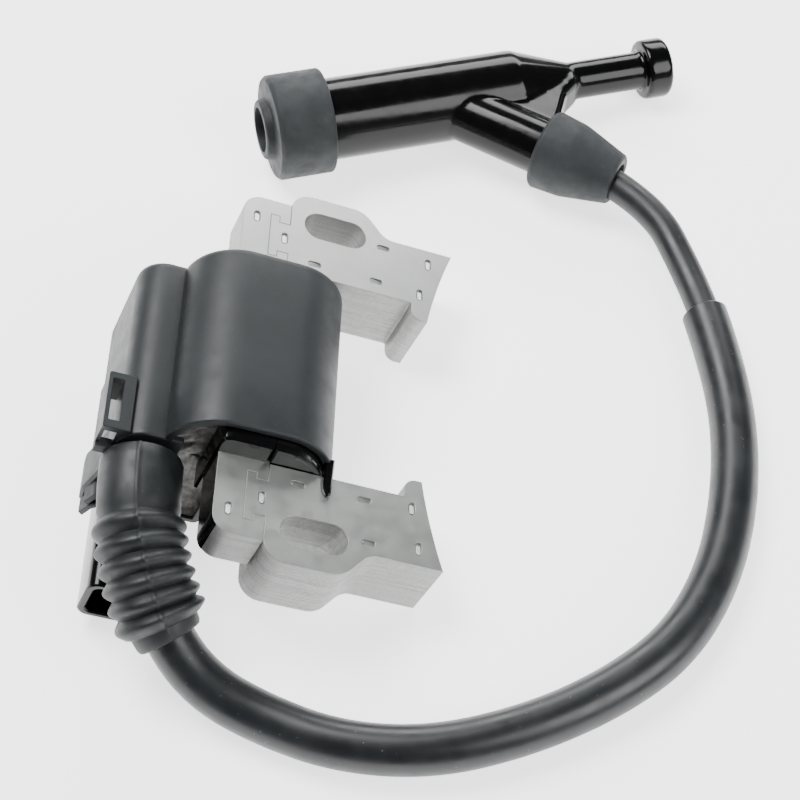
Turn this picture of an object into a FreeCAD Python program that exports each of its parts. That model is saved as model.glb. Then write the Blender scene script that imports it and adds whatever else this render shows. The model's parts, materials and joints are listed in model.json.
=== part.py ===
import FreeCAD, Part
import Sketcher
import math
import os

from FreeCAD import Placement, Rotation, Vector

# Ignition coil of a small engine, in millimetres.
# The coil unit is modelled in its own unit frame: X points from the crossbar to the flywheel, Y runs
# along the crossbar, Z is the normal of the laminations, and Z = 0 is their front face.
# The spark plug cap is modelled in its own cap frame, with X along its barrel.
# Both are then laid down as they rest on a level surface: +Z up, surface at Z = 0.

DIMENSIONS = {
    # laminated core
    "bar_left": 3.0,
    "bar_right": 13.4,
    "bar_half_length": 41.65,
    "bar_depth": 10.0,
    "bar_corner_radius": 3.9,
    "stack_depth": 16.0,
    "tongue_left": 9.0,
    "tongue_step": 11.0,
    "tongue_head_inner": 26.9,
    "tongue_neck_inner": 28.35,
    "tongue_neck_outer": 36.2,
    "tongue_head_outer": 37.85,
    "leg_inner": 24.3,
    "leg_outer": 39.5,
    "leg_tip": 52.0,
    "pole_inner": 20.05,
    "pole_shoulder": 41.4,
    "pole_inner_radius": 2.4,
    "pole_radius": 118.4,
    "flywheel_centre": 161.8,
    "lug_outer": 45.5,
    "lug_end": 29.65,
    "lug_foot": 34.87,
    "lug_corner_radius": 4.5,
    "lug_end_radius": 5.2,
    "lug_foot_radius": 4.2,
    "slot_centre_x": 23.45,
    "slot_centre_y": 38.0,
    "slot_length": 13.9,
    "slot_width": 6.87,
    # moulded case: a flat-sided oval round the coil, and a square box for the electronics
    "case_half_length": 21.7,
    "case_wall": 1.6,
    "oval_left": 5.0,
    "oval_right": 15.0,
    "oval_height": -5.0,
    "oval_radius": 12.0,
    "box_left": -15.6,
    "box_right": 8.0,
    "box_front": -3.75,
    "box_back": -32.0,
    "box_front_radius": 6.0,
    "box_back_radius": 1.5,
    "end_wall_right": -3.0,
    "tower_x": -9.1,
    "tower_z": -12.2,
    "tower_radius": 5.5,
    "tower_bore": 3.7,
    "tower_root": -10.0,
    "tower_bottom": -20.0,
    "tower_tip": -28.0,
    "socket_left": -14.0,
    "socket_right": -2.6,
    "socket_front": -23.3,
    "socket_back": -36.1,
    "socket_mouth": -45.4,
    "socket_floor": -29.0,
    "socket_root": -19.0,
    "socket_wall": 1.6,
    "socket_radius": 2.5,
    "latch_left": -17.8,
    "latch_start": -14.1,
    "latch_pitch": 4.4,
    "latch_thickness": 1.4,
    "latch_slant": 0.8,
    "loop_left": -19.2,
    "loop_front": -3.9,
    "loop_back": -11.9,
    "loop_top": -8.6,
    "loop_bottom": -21.7,
    "loop_wall": 1.0,
    "loop_window": 2.3,
    "loop_window_top": -10.2,
    "loop_window_bottom": -19.8,
    "nib_left": 23.8,
    "nib_right": 26.4,
    "nib_tip": -29.4,
    "nib_height": 1.3,
    "bridge_left": -7.6,
    "bridge_back": -20.0,
    "fill_end": -21.0,
    # coil inside the case
    "fit_gap": 0.2,
    "primary_wall": 1.0,
    "primary_end": 18.2,
    "primary_flange": 0.8,
    "primary_build": 2.3,
    "plate_left": -1.0,
    "plate_back": -11.0,
    "plate_thickness": 1.4,
    "secondary_left": 5.0,
    "secondary_right": 12.0,
    "secondary_radius": 10.2,
    "secondary_half_length": 16.8,
    "secondary_flange": 0.8,
    "secondary_bore": 2.5,
    "secondary_core": 3.0,
    "section_radius": 9.8,
    "link_radius": 1.0,
    "link_arm": 1.0,
    "link_arm_end": -5.0,
    "spike_radius": 0.7,
    "spike_tip": -24.5,
    # electronics
    "board_front": -19.4,
    "board_thickness": 1.6,
    "board_left": -13.0,
    "board_right": 5.6,
    "board_low": -14.0,
    "board_high": 19.6,
    "transistor_left": -10.0,
    "transistor_right": 0.0,
    "transistor_low": -2.0,
    "transistor_high": 13.0,
    "transistor_height": 4.5,
    "chip_left": 1.0,
    "chip_right": 5.0,
    "chip_low": -8.0,
    "chip_high": -3.0,
    "chip_height": 1.6,
    "capacitor_x": -9.0,
    "capacitor_y": -7.0,
    "capacitor_radius": 3.0,
    "capacitor_height": 6.5,
    "resistor_length": 3.2,
    "resistor_width": 1.6,
    "resistor_height": 0.6,
    "strap_left": 3.4,
    "strap_right": 6.0,
    "strap_low": 18.8,
    "strap_thickness": 0.5,
    "pin_size": 0.8,
    "pin_z": -29.9,
    "pin_tip": -38.0,
    "pin_root": -12.0,
    "pin_first": -10.0,
    "pin_pitch": 3.4,
    # lead
    "lead_diameter": 7.0,
    "lead_core_diameter": 1.6,
    "sleeve_diameter": 10.0,
    "sleeve_bore": 7.6,
    "boot_diameter": 15.2,
    "boot_collar_diameter": 16.6,
    "boot_rib_diameter": 18.6,
    # spark plug cap
    "barrel_radius": 9.5,
    "ring_floor": 1.6,
    "ring_edge": 1.2,
    "knob_edge": 1.2,
    "seal_gap": 0.1,
    "seal_edge": 0.5,
    "seal_straight": 7.5,
    "barrel_start": 2.1,
    "barrel_end": 59.3,
    "stem_start": 73.6,
    "stem_radius": 4.4,
    "stem_end": 92.0,
    "knob_radius": 7.0,
    "knob_end": 98.0,
    "mouth_radius": 6.8,
    "mouth_depth": 27.0,
    "chamber_radius": 4.0,
    "chamber_end": 60.0,
    "branch_station": 40.6,
    "branch_angle": 45.5,
    "branch_radius": 6.4,
    "branch_bore": 3.8,
    "branch_tip": 36.0,
    "branch_seat": 29.5,
    "ring_radius": 12.1,
    "ring_end": 13.1,
    "ring_grip": 6.0,
    "ring_lip": -3.0,
    "ring_lip_radius": 7.0,
    "ring_bore": 5.2,
    "seal_start": 28.0,
    "seal_end": 46.8,
    "seal_wide_radius": 9.3,
    "seal_narrow_radius": 5.9,
    "seal_bore": 3.8,
    "terminal_start": 16.0,
    "terminal_floor": 27.5,
    "terminal_end": 33.0,
    "terminal_bore": 3.2,
    "suppressor_end": 52.0,
    "suppressor_cap_length": 2.0,
    "suppressor_cap_radius": 2.4,
    "suppressor_radius": 2.0,
    "suppressor_waist_start": 41.0,
    "suppressor_waist_end": 44.0,
    "suppressor_waist_radius": 1.2,
    "spring_start": 52.3,
    "spring_turns": 5.0,
    "spring_pitch": 1.46,
    "spring_radius": 2.6,
    "spring_wire_radius": 0.3,
    "screw_start": 4.2,
    "screw_radius": 1.2,
    "screw_point": 6.0,
    "screw_point_radius": 0.65,
}

# The cap lies on its ring and its knob: place of its origin in the resting frame, and its turns in degrees.
CAP_ORIGIN = (-4.64, 77.35, 12.88)
CAP_YAW = 18.42
CAP_PITCH = 3.5
CAP_ROLL = -1.7

# Points of the high tension lead in the resting frame, from the tower to the cap's branch.
LEAD_ROUTE = [
    (-22.05, -21.5, 24.07),
    (-22.05, -34.0, 24.07),
    (-19.2, -45.6, 20.0),
    (-14.8, -55.0, 13.0),
    (-7.6, -62.0, 7.2),
    (3.3, -67.3, 5.05),
    (18.8, -72.8, 5.05),
    (36.8, -73.2, 5.05),
    (54.8, -67.8, 5.05),
    (70.8, -59.5, 5.05),
    (84.3, -48.5, 5.05),
    (93.3, -32.5, 5.05),
    (97.8, -14.0, 5.05),
    (99.0, 5.0, 5.05),
    (96.8, 23.0, 5.05),
    (92.4, 42.5, 5.1),
]

document = FreeCAD.newDocument("ignition_coil")
sheet = document.addObject("Spreadsheet::Sheet", "Dim")
parts = []


def fill_sheet():
    """Write every driving dimension as a plain number with an alias."""
    for row, (alias, value) in enumerate(DIMENSIONS.items(), start=1):
        sheet.set(f"A{row}", alias)
        sheet.set(f"B{row}", str(value))
        sheet.setAlias(f"B{row}", alias)
    document.recompute()


def size(alias):
    """One driving dimension, read back from the sheet."""
    return float(getattr(sheet, alias))


def number(expression):
    """The present value of an expression over the sheet."""
    value = sheet.evalExpression(str(expression))
    return float(getattr(value, "Value", value))


def place_base(thing, x, y, z):
    """Bind the three coordinates of an object's placement."""
    for axis, expression in (("x", x), ("y", y), ("z", z)):
        thing.setExpression(f"Placement.Base.{axis}", str(expression))


def box(name, x_span, y_span, z_span):
    """A block between two expressions on each axis."""
    block = document.addObject("Part::Box", name)
    for side, (low, high) in (("Length", x_span), ("Width", y_span), ("Height", z_span)):
        block.setExpression(side, f"({high}) - ({low})")
    place_base(block, x_span[0], y_span[0], z_span[0])
    return block


AXIS_TURNS = {
    "x": Rotation(Vector(0, 1, 0), 90),
    "y": Rotation(Vector(1, 0, 0), -90),
    "z": Rotation(),
}


def rod(name, axis, start, radius, length):
    """A cylinder along one axis from a start point given as three expressions."""
    cylinder = document.addObject("Part::Cylinder", name)
    cylinder.Placement = Placement(Vector(), AXIS_TURNS[axis])
    cylinder.setExpression("Radius", str(radius))
    cylinder.setExpression("Height", str(length))
    place_base(cylinder, *start)
    return cylinder


def fuse(name, pieces):
    """One solid of several overlapping ones."""
    union = document.addObject("Part::MultiFuse", name)
    union.Shapes = pieces
    union.Refine = True
    return union


def group(name, pieces):
    """Several separate solids kept together as one node."""
    compound = document.addObject("Part::Compound", name)
    compound.Links = pieces
    return compound


def cut(name, base, tools):
    """A solid less one or more others."""
    tool = tools[0] if len(tools) == 1 else fuse(f"{name}_tools", tools)
    result = document.addObject("Part::Cut", name)
    result.Base = base
    result.Tool = tool
    return result


def common(name, first, second):
    """The shared volume of two solids."""
    result = document.addObject("Part::MultiCommon", name)
    result.Shapes = [first, second]
    return result


def rounded(name, base, radius, wanted):
    """Round the straight edges of a solid whose middle passes the test."""
    document.recompute()
    value = number(radius)
    chosen = []
    for index, edge in enumerate(base.Shape.Edges, start=1):
        if wanted(edge.CenterOfMass, edge.tangentAt(edge.FirstParameter)):
            chosen.append((index, value, value))
    fillet = document.addObject("Part::Fillet", name)
    fillet.Base = base
    fillet.Edges = chosen
    return fillet


def oval(name, left, right, height, radius, y_span):
    """A flat-sided oval along Y: a block between two round ends."""
    low, high = y_span
    length = f"({high}) - ({low})"
    middle = box(
        f"{name}_flat", (left, right), y_span, (f"{height} - ({radius})", f"{height} + ({radius})")
    )
    first = rod(f"{name}_end", "y", (left, low, height), radius, length)
    second = rod(f"{name}_far_end", "y", (right, low, height), radius, length)
    return fuse(name, [middle, first, second])


def outline(body, name, points):
    """A closed sketch of straight lines in the XY plane whose corners are bound to expressions."""
    sketch = body.newObject("Sketcher::SketchObject", name)
    plane = next(f for f in body.Origin.OriginFeatures if f.Role == "XY_Plane")
    sketch.AttachmentSupport = [(plane, "")]
    sketch.MapMode = "FlatFace"
    corners = [Vector(number(x), number(y), 0) for x, y in points]
    count = len(corners)
    for index, corner in enumerate(corners):
        sketch.addGeometry(Part.LineSegment(corner, corners[(index + 1) % count]), False)
    for index in range(count):
        sketch.addConstraint(Sketcher.Constraint("Coincident", index, 2, (index + 1) % count, 1))
    for index, point in enumerate(points):
        for kind, expression in zip(("DistanceX", "DistanceY"), point):
            value = number(expression)
            if abs(value) < 1e-9:
                sketch.addConstraint(
                    Sketcher.Constraint("PointOnObject", index, 1, -2 if kind == "DistanceX" else -1)
                )
                continue
            row = sketch.addConstraint(Sketcher.Constraint(kind, -1, 1, index, 1, value))
            sketch.setExpression(f"Constraints[{row}]", str(expression))
    return sketch


def pad(body, name, sketch, depth):
    """Extrude a sketch towards -Z."""
    feature = body.newObject("PartDesign::Pad", name)
    feature.Profile = sketch
    feature.setExpression("Length", depth)
    feature.Reversed = True
    document.recompute()
    return feature


def round_corners(body, name, feature, corners, radius):
    """Round the edges along Z of the last feature at the given corners."""
    wanted = [(number(x), number(y)) for x, y in corners]
    edges = []
    for index, edge in enumerate(feature.Shape.Edges, start=1):
        middle = edge.CenterOfMass
        along_z = abs(edge.tangentAt(edge.FirstParameter).z) > 0.99
        near = any(math.hypot(middle.x - x, middle.y - y) < 0.05 for x, y in wanted)
        if along_z and near:
            edges.append(f"Edge{index}")
    fillet = body.newObject("PartDesign::Fillet", name)
    fillet.Base = (feature, edges)
    fillet.setExpression("Radius", str(radius))
    document.recompute()
    return fillet


def turned(name, profile):
    """A body of revolution about X: the profile holds (x, radius) corners."""
    body = document.addObject("PartDesign::Body", name)
    sketch = outline(body, f"{name}_profile", profile)
    feature = body.newObject("PartDesign::Revolution", f"{name}_turn")
    feature.Profile = sketch
    feature.ReferenceAxis = (sketch, ["H_Axis"])
    feature.Angle = 360.0
    document.recompute()
    return body


def keep(thing, label, placement=None):
    """Register a finished sub-part under the name of its node."""
    thing.Label = label
    parts.append((thing, label, placement))
    return thing


# --- laminated core ------------------------------------------------------------------------------


def core_bar():
    """The crossbar, with a socket at each end for the tongue of a leg."""
    body = document.addObject("PartDesign::Body", "core_bar")
    half = [
        ("Dim.bar_right", "Dim.tongue_neck_inner"),
        ("Dim.tongue_step", "Dim.tongue_neck_inner"),
        ("Dim.tongue_step", "Dim.tongue_head_inner"),
        ("Dim.tongue_left", "Dim.tongue_head_inner"),
        ("Dim.tongue_left", "Dim.tongue_head_outer"),
        ("Dim.tongue_step", "Dim.tongue_head_outer"),
        ("Dim.tongue_step", "Dim.tongue_neck_outer"),
        ("Dim.bar_right", "Dim.tongue_neck_outer"),
        ("Dim.bar_right", "Dim.bar_half_length"),
        ("Dim.bar_left", "Dim.bar_half_length"),
    ]
    other_half = [(x, f"-{y}") for x, y in reversed(half)]
    sketch = outline(body, "core_bar_outline", half + other_half)
    feature = pad(body, "core_bar_stack", sketch, "Dim.bar_depth")
    ends = [("Dim.bar_left", "Dim.bar_half_length"), ("Dim.bar_left", "-Dim.bar_half_length")]
    round_corners(body, "core_bar_corners", feature, ends, "Dim.bar_corner_radius")
    return keep(body, "core_bar")


def leg(label, sign):
    """One leg: mounting lug with a slot, pole face, and a tongue on its front laminations."""
    body = document.addObject("PartDesign::Body", label)
    profile = [
        ("Dim.bar_right", f"{sign}Dim.leg_inner"),
        ("Dim.pole_shoulder", f"{sign}Dim.leg_inner"),
        ("Dim.pole_shoulder", f"{sign}Dim.pole_inner"),
        ("Dim.leg_tip", f"{sign}Dim.pole_inner"),
        ("Dim.leg_tip", f"{sign}Dim.leg_outer"),
        ("Dim.lug_foot", f"{sign}Dim.leg_outer"),
        ("Dim.lug_end", f"{sign}Dim.lug_outer"),
        ("Dim.bar_right", f"{sign}Dim.lug_outer"),
    ]
    stack = pad(body, f"{label}_stack", outline(body, f"{label}_outline", profile), "Dim.stack_depth")
    roundings = [
        (1, "Dim.pole_inner_radius"),
        (5, "Dim.lug_foot_radius"),
        (6, "Dim.lug_end_radius"),
        (7, "Dim.lug_corner_radius"),
    ]
    for corner, radius in roundings:
        stack = round_corners(body, f"{label}_round_{corner}", stack, [profile[corner]], radius)
    tongue = [
        ("Dim.bar_right", f"{sign}Dim.tongue_neck_inner"),
        ("Dim.tongue_step", f"{sign}Dim.tongue_neck_inner"),
        ("Dim.tongue_step", f"{sign}Dim.tongue_head_inner"),
        ("Dim.tongue_left", f"{sign}Dim.tongue_head_inner"),
        ("Dim.tongue_left", f"{sign}Dim.tongue_head_outer"),
        ("Dim.tongue_step", f"{sign}Dim.tongue_head_outer"),
        ("Dim.tongue_step", f"{sign}Dim.tongue_neck_outer"),
        ("Dim.bar_right", f"{sign}Dim.tongue_neck_outer"),
    ]
    pad(body, f"{label}_tongue", outline(body, f"{label}_tongue_outline", tongue), "Dim.bar_depth")
    slot = oval_hole(f"{label}_slot", sign)
    flywheel = rod(
        f"{label}_flywheel",
        "z",
        ("Dim.flywheel_centre", "0", "-Dim.stack_depth - 1"),
        "Dim.pole_radius",
        "Dim.stack_depth + 2",
    )
    return keep(cut(f"{label}_cut", body, [slot, flywheel]), label)


def oval_hole(name, sign):
    """The through-slot of a mounting lug, long in X."""
    reach = "(Dim.slot_length - Dim.slot_width) / 2"
    low, high = f"Dim.slot_centre_x - {reach}", f"Dim.slot_centre_x + {reach}"
    centre_y = f"{sign}Dim.slot_centre_y"
    z_span = ("-Dim.stack_depth - 1", "1")
    y_span = (f"{centre_y} - Dim.slot_width / 2", f"{centre_y} + Dim.slot_width / 2")
    flat = box(f"{name}_flat", (low, high), y_span, z_span)
    ends = [
        rod(f"{name}_end_{index}", "z", (x, centre_y, z_span[0]), "Dim.slot_width / 2", "Dim.stack_depth + 2")
        for index, x in enumerate((low, high))
    ]
    return fuse(name, [flat, *ends])


# --- moulded case --------------------------------------------------------------------------------

CASE_SPAN = ("-Dim.case_half_length", "Dim.case_half_length")
BEYOND_SPAN = ("-2 * Dim.case_half_length", "2 * Dim.case_half_length")
CAVITY_SPAN = ("-Dim.case_half_length - 1", "Dim.case_half_length - Dim.case_wall")
SOCKET_X = ("Dim.socket_left", "Dim.socket_right")
SOCKET_Z = ("Dim.socket_back", "Dim.socket_front")
PIN_COUNT = 2
LATCH_RIB_COUNT = 4


def box_section(name, y_span, inset, front_radius):
    """The square box beside and behind the coil, less an inset all round."""
    block = box(
        f"{name}_block",
        (f"Dim.box_left + {inset}", f"Dim.box_right - {inset}"),
        y_span,
        (f"Dim.box_back + {inset}", f"Dim.box_front - {inset}"),
    )
    left, back = number(f"Dim.box_left + {inset}"), number(f"Dim.box_back + {inset}")
    right, front = number(f"Dim.box_right - {inset}"), number(f"Dim.box_front - {inset}")

    def along_y_at(x, z):
        return lambda middle, way: abs(way.y) > 0.99 and math.hypot(middle.x - x, middle.z - z) < 0.05

    shaped = rounded(f"{name}_front_round", block, front_radius, along_y_at(left, front))
    shaped = rounded(f"{name}_left_round", shaped, "Dim.box_back_radius", along_y_at(left, back))
    return rounded(f"{name}_right_round", shaped, "Dim.box_back_radius", along_y_at(right, back))


def cavity(name, y_span):
    """The inside of the case, which the resin fills."""
    coil = oval(
        f"{name}_coil",
        "Dim.oval_left",
        "Dim.oval_right",
        "Dim.oval_height",
        "Dim.oval_radius - Dim.case_wall",
        y_span,
    )
    electronics = box_section(
        f"{name}_electronics", y_span, "Dim.case_wall", "Dim.box_front_radius - Dim.case_wall"
    )
    bridge = box(
        f"{name}_bridge",
        ("Dim.bridge_left", "Dim.box_right - Dim.case_wall"),
        y_span,
        ("Dim.bridge_back", "Dim.oval_height"),
    )
    return fuse(name, [coil, electronics, bridge])


def pin_boxes(name):
    """The bent terminals: a straight pin and a riser to the board for each."""
    pieces = []
    half = "Dim.pin_size / 2"
    for index in range(PIN_COUNT):
        x = f"Dim.pin_first + {index} * Dim.pin_pitch"
        x_span = (f"{x} - {half}", f"{x} + {half}")
        pin = box(
            f"{name}_pin_{index}",
            x_span,
            ("Dim.pin_tip", "Dim.pin_root"),
            (f"Dim.pin_z - {half}", f"Dim.pin_z + {half}"),
        )
        riser = box(
            f"{name}_riser_{index}",
            x_span,
            ("Dim.pin_root - Dim.pin_size", "Dim.pin_root"),
            (f"Dim.pin_z - {half}", "Dim.board_front - Dim.board_thickness"),
        )
        pieces.append(fuse(f"{name}_{index}", [pin, riser]))
    return pieces


def socket_shell(name, inset, y_span, corner):
    """A block with rounded long edges, as the connector socket is outside and inside."""
    block = box(
        f"{name}_block",
        (f"{SOCKET_X[0]} + {inset}", f"{SOCKET_X[1]} - {inset}"),
        y_span,
        (f"{SOCKET_Z[0]} + {inset}", f"{SOCKET_Z[1]} - {inset}"),
    )
    return rounded(name, block, corner, lambda middle, way: abs(way.y) > 0.99)


def latch_ribs():
    """The guard of the socket's catch: slanting ribs on its outer side and a ramp across them."""
    ribs = [
        box(
            f"latch_rib_{index}",
            ("Dim.latch_left", "Dim.socket_left"),
            (
                f"Dim.latch_start - Dim.latch_thickness - {index} * Dim.latch_pitch",
                f"Dim.latch_start - {index} * Dim.latch_pitch",
            ),
            (f"Dim.socket_back + 2 + {index} * Dim.latch_slant", "Dim.socket_front + 3"),
        )
        for index in range(LATCH_RIB_COUNT)
    ]
    ramp = box(
        "latch_ramp",
        ("Dim.latch_left + 1", "Dim.socket_left"),
        (f"Dim.latch_start - Dim.latch_thickness - {LATCH_RIB_COUNT - 1} * Dim.latch_pitch", "Dim.latch_start"),
        ("Dim.socket_back + 5", "Dim.socket_back + 9"),
    )
    return [*ribs, ramp]


def clip_loop():
    """A square loop on the box's front corner, with a window that a harness clip snaps into."""
    plate = box(
        "clip_loop_block",
        ("Dim.loop_left", "Dim.box_left + 3"),
        ("Dim.loop_bottom", "Dim.loop_top"),
        ("Dim.loop_back", "Dim.loop_front"),
    )
    window = box(
        "clip_loop_window",
        ("Dim.loop_left + Dim.loop_wall", "Dim.loop_left + Dim.loop_wall + Dim.loop_window"),
        ("Dim.loop_window_bottom", "Dim.loop_window_top"),
        ("Dim.loop_back - 1", "Dim.loop_front + 1"),
    )
    return cut("clip_loop", plate, [window])


def coil_case():
    """The case: oval and box with one cavity, an end wall, the lead tower and the socket."""
    shell = fuse(
        "case_outside",
        [
            oval(
                "case_oval",
                "Dim.oval_left",
                "Dim.oval_right",
                "Dim.oval_height",
                "Dim.oval_radius",
                CASE_SPAN,
            ),
            box_section("case_box", CASE_SPAN, "0", "Dim.box_front_radius"),
            clip_loop(),
        ],
    )
    hollow = cut("case_hollow", shell, [cavity("case_cavity", CAVITY_SPAN)])
    end_wall = common(
        "case_end_wall",
        box(
            "case_end_block",
            ("Dim.box_left", "Dim.end_wall_right"),
            ("-Dim.case_half_length", "-Dim.case_half_length + Dim.case_wall"),
            ("Dim.box_back", "Dim.box_front"),
        ),
        box_section("case_end_section", CASE_SPAN, "0", "Dim.box_front_radius"),
    )
    tower = rod(
        "case_tower",
        "y",
        ("Dim.tower_x", "Dim.tower_tip", "Dim.tower_z"),
        "Dim.tower_radius",
        "Dim.tower_root - Dim.tower_tip",
    )
    socket = socket_shell("case_socket", "0", ("Dim.socket_mouth", "Dim.socket_root"), "Dim.socket_radius")
    nib = box(
        "case_nib",
        ("Dim.nib_left", "Dim.nib_right"),
        ("Dim.nib_tip", "-Dim.case_half_length + Dim.case_wall"),
        ("0", "Dim.nib_height"),
    )
    solid = fuse("case_solid", [hollow, end_wall, tower, socket, nib, *latch_ribs()])
    openings = [
        rod(
            "tower_bore",
            "y",
            ("Dim.tower_x", "Dim.tower_tip - 1", "Dim.tower_z"),
            "Dim.tower_bore",
            "Dim.tower_bottom - Dim.tower_tip + 1",
        ),
        rod(
            "tower_pin_hole",
            "y",
            ("Dim.tower_x", "Dim.tower_tip", "Dim.tower_z"),
            "Dim.link_radius",
            "Dim.tower_root + 1 - Dim.tower_tip",
        ),
        socket_shell(
            "socket_mouth",
            "Dim.socket_wall",
            ("Dim.socket_mouth - 1", "Dim.socket_floor"),
            "Dim.socket_radius - 1.2",
        ),
        box(
            "bar_passage",
            ("Dim.bar_left - Dim.fit_gap", "Dim.bar_right + Dim.fit_gap"),
            ("0", "Dim.case_half_length + 1"),
            ("-Dim.bar_depth - Dim.fit_gap", "Dim.fit_gap"),
        ),
        *pin_boxes("socket_pin_hole"),
    ]
    return keep(cut("coil_case", solid, openings), "coil_case")


# --- coil ----------------------------------------------------------------------------------------


def bar_sleeve(extra):
    """X and Z spans of a square section round the core bar with some extra on each side."""
    return (
        (f"Dim.bar_left - {extra}", f"Dim.bar_right + {extra}"),
        (f"-Dim.bar_depth - {extra}", f"{extra}"),
    )


PRIMARY_INNER = bar_sleeve("Dim.fit_gap")
PRIMARY_OUTER = bar_sleeve("(Dim.fit_gap + Dim.primary_wall)")
WINDING_OUTER = bar_sleeve("Dim.primary_build")
SECONDARY_INNER = bar_sleeve("Dim.secondary_bore")
SECONDARY_OUTER = bar_sleeve("Dim.secondary_core")
SLEEVE_SPAN = ("Dim.fill_end - Dim.fit_gap", "Dim.primary_end")
PLATE_SPAN = ("Dim.fill_end - Dim.fit_gap", "Dim.fill_end - Dim.fit_gap + Dim.plate_thickness")


def end_plate(name, y_span):
    """The bobbin's plate that closes the coil's side of the case opening."""
    section = oval(
        f"{name}_section",
        "Dim.oval_left",
        "Dim.oval_right",
        "Dim.oval_height",
        "Dim.oval_radius - Dim.case_wall - 0.1",
        y_span,
    )
    window = box(
        f"{name}_window",
        ("Dim.plate_left", "Dim.oval_right + Dim.oval_radius"),
        y_span,
        ("Dim.plate_back", "Dim.oval_height + Dim.oval_radius"),
    )
    return common(name, section, window)


def primary_bobbin():
    """The inner former, a square sleeve on the core bar with two flanges and an end plate."""
    core = box("primary_core", PRIMARY_OUTER[0], SLEEVE_SPAN, PRIMARY_OUTER[1])
    flanges = [
        box(f"primary_flange_{index}", SECONDARY_OUTER[0], span, SECONDARY_OUTER[1])
        for index, span in enumerate(
            (
                ("-Dim.primary_end", "-Dim.primary_end + Dim.primary_flange"),
                ("Dim.primary_end - Dim.primary_flange", "Dim.primary_end"),
            )
        )
    ]
    plate = end_plate("primary_end_plate", PLATE_SPAN)
    solid = fuse("primary_solid", [core, *flanges, plate])
    passage = box("primary_passage", PRIMARY_INNER[0], BEYOND_SPAN, PRIMARY_INNER[1])
    return keep(cut("primary_bobbin", solid, [passage]), "primary_bobbin")


def primary_winding():
    """The low tension winding, one block of turns between the flanges."""
    reach = "Dim.primary_end - Dim.primary_flange"
    turns = box("primary_turns", WINDING_OUTER[0], (f"-({reach})", reach), WINDING_OUTER[1])
    passage = box("primary_turns_passage", PRIMARY_OUTER[0], BEYOND_SPAN, PRIMARY_OUTER[1])
    return keep(cut("primary_winding", turns, [passage]), "primary_winding")


SECTION_COUNT = 6
SECTION_PITCH = f"((2 * Dim.secondary_half_length - Dim.secondary_flange) / {SECTION_COUNT})"


def secondary_oval(name, radius, y_span):
    """The oval section shared by the flanges and the turns of the high tension coil."""
    return oval(name, "Dim.secondary_left", "Dim.secondary_right", "Dim.oval_height", radius, y_span)


def secondary_bobbin():
    """The outer former, divided by flanges into sections that keep the voltage apart."""
    core = box(
        "secondary_core",
        SECONDARY_OUTER[0],
        ("-Dim.secondary_half_length", "Dim.secondary_half_length"),
        SECONDARY_OUTER[1],
    )
    flanges = []
    for index in range(SECTION_COUNT + 1):
        start = f"-Dim.secondary_half_length + {index} * {SECTION_PITCH}"
        span = (start, f"{start} + Dim.secondary_flange")
        flanges.append(secondary_oval(f"secondary_flange_{index}", "Dim.secondary_radius", span))
    solid = fuse("secondary_solid", [core, *flanges])
    passage = box("secondary_passage", SECONDARY_INNER[0], BEYOND_SPAN, SECONDARY_INNER[1])
    return keep(cut("secondary_bobbin", solid, [passage]), "secondary_bobbin")


def secondary_winding():
    """The high tension winding, one ring of turns in each section."""
    rings = []
    for index in range(SECTION_COUNT):
        start = f"-Dim.secondary_half_length + Dim.secondary_flange + {index} * {SECTION_PITCH}"
        span = (start, f"{start} + {SECTION_PITCH} - Dim.secondary_flange")
        turns = secondary_oval(f"section_turns_{index}", "Dim.section_radius", span)
        core = box(f"section_core_{index}", SECONDARY_OUTER[0], span, SECONDARY_OUTER[1])
        rings.append(cut(f"section_ring_{index}", turns, [core]))
    return keep(group("secondary_winding", rings), "secondary_winding")


# --- electronics ---------------------------------------------------------------------------------

BOARD_BACK = "Dim.board_front - Dim.board_thickness"
BOARD_SPANS = (
    ("Dim.board_left", "Dim.board_right"),
    ("Dim.board_low", "Dim.board_high"),
    (BOARD_BACK, "Dim.board_front"),
)
TRANSISTOR_SPANS = (
    ("Dim.transistor_left", "Dim.transistor_right"),
    ("Dim.transistor_low", "Dim.transistor_high"),
    (f"{BOARD_BACK} - Dim.transistor_height", BOARD_BACK),
)
CHIP_SPANS = (
    ("Dim.chip_left", "Dim.chip_right"),
    ("Dim.chip_low", "Dim.chip_high"),
    (f"{BOARD_BACK} - Dim.chip_height", BOARD_BACK),
)
STRAP_SPANS = (
    ("Dim.strap_left", "Dim.strap_right"),
    ("Dim.strap_low", "Dim.strap_low + Dim.strap_thickness"),
    ("Dim.board_front", "-Dim.bar_depth"),
)
RESISTOR_PLACES = [(1.5, 0.0), (1.5, 3.0), (1.5, 6.0), (-4.0, 15.5), (0.0, 15.5)]


def capacitor(name):
    """A round electrolytic capacitor standing on the back of the board."""
    start = ("Dim.capacitor_x", "Dim.capacitor_y", f"{BOARD_BACK} - Dim.capacitor_height")
    return rod(name, "z", start, "Dim.capacitor_radius", "Dim.capacitor_height")


def resistors(name):
    """The surface mount resistors."""
    return [
        box(
            f"{name}_{index}",
            (x, f"{x} + Dim.resistor_length"),
            (y, f"{y} + Dim.resistor_width"),
            (f"{BOARD_BACK} - Dim.resistor_height", BOARD_BACK),
        )
        for index, (x, y) in enumerate(RESISTOR_PLACES)
    ]


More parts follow.
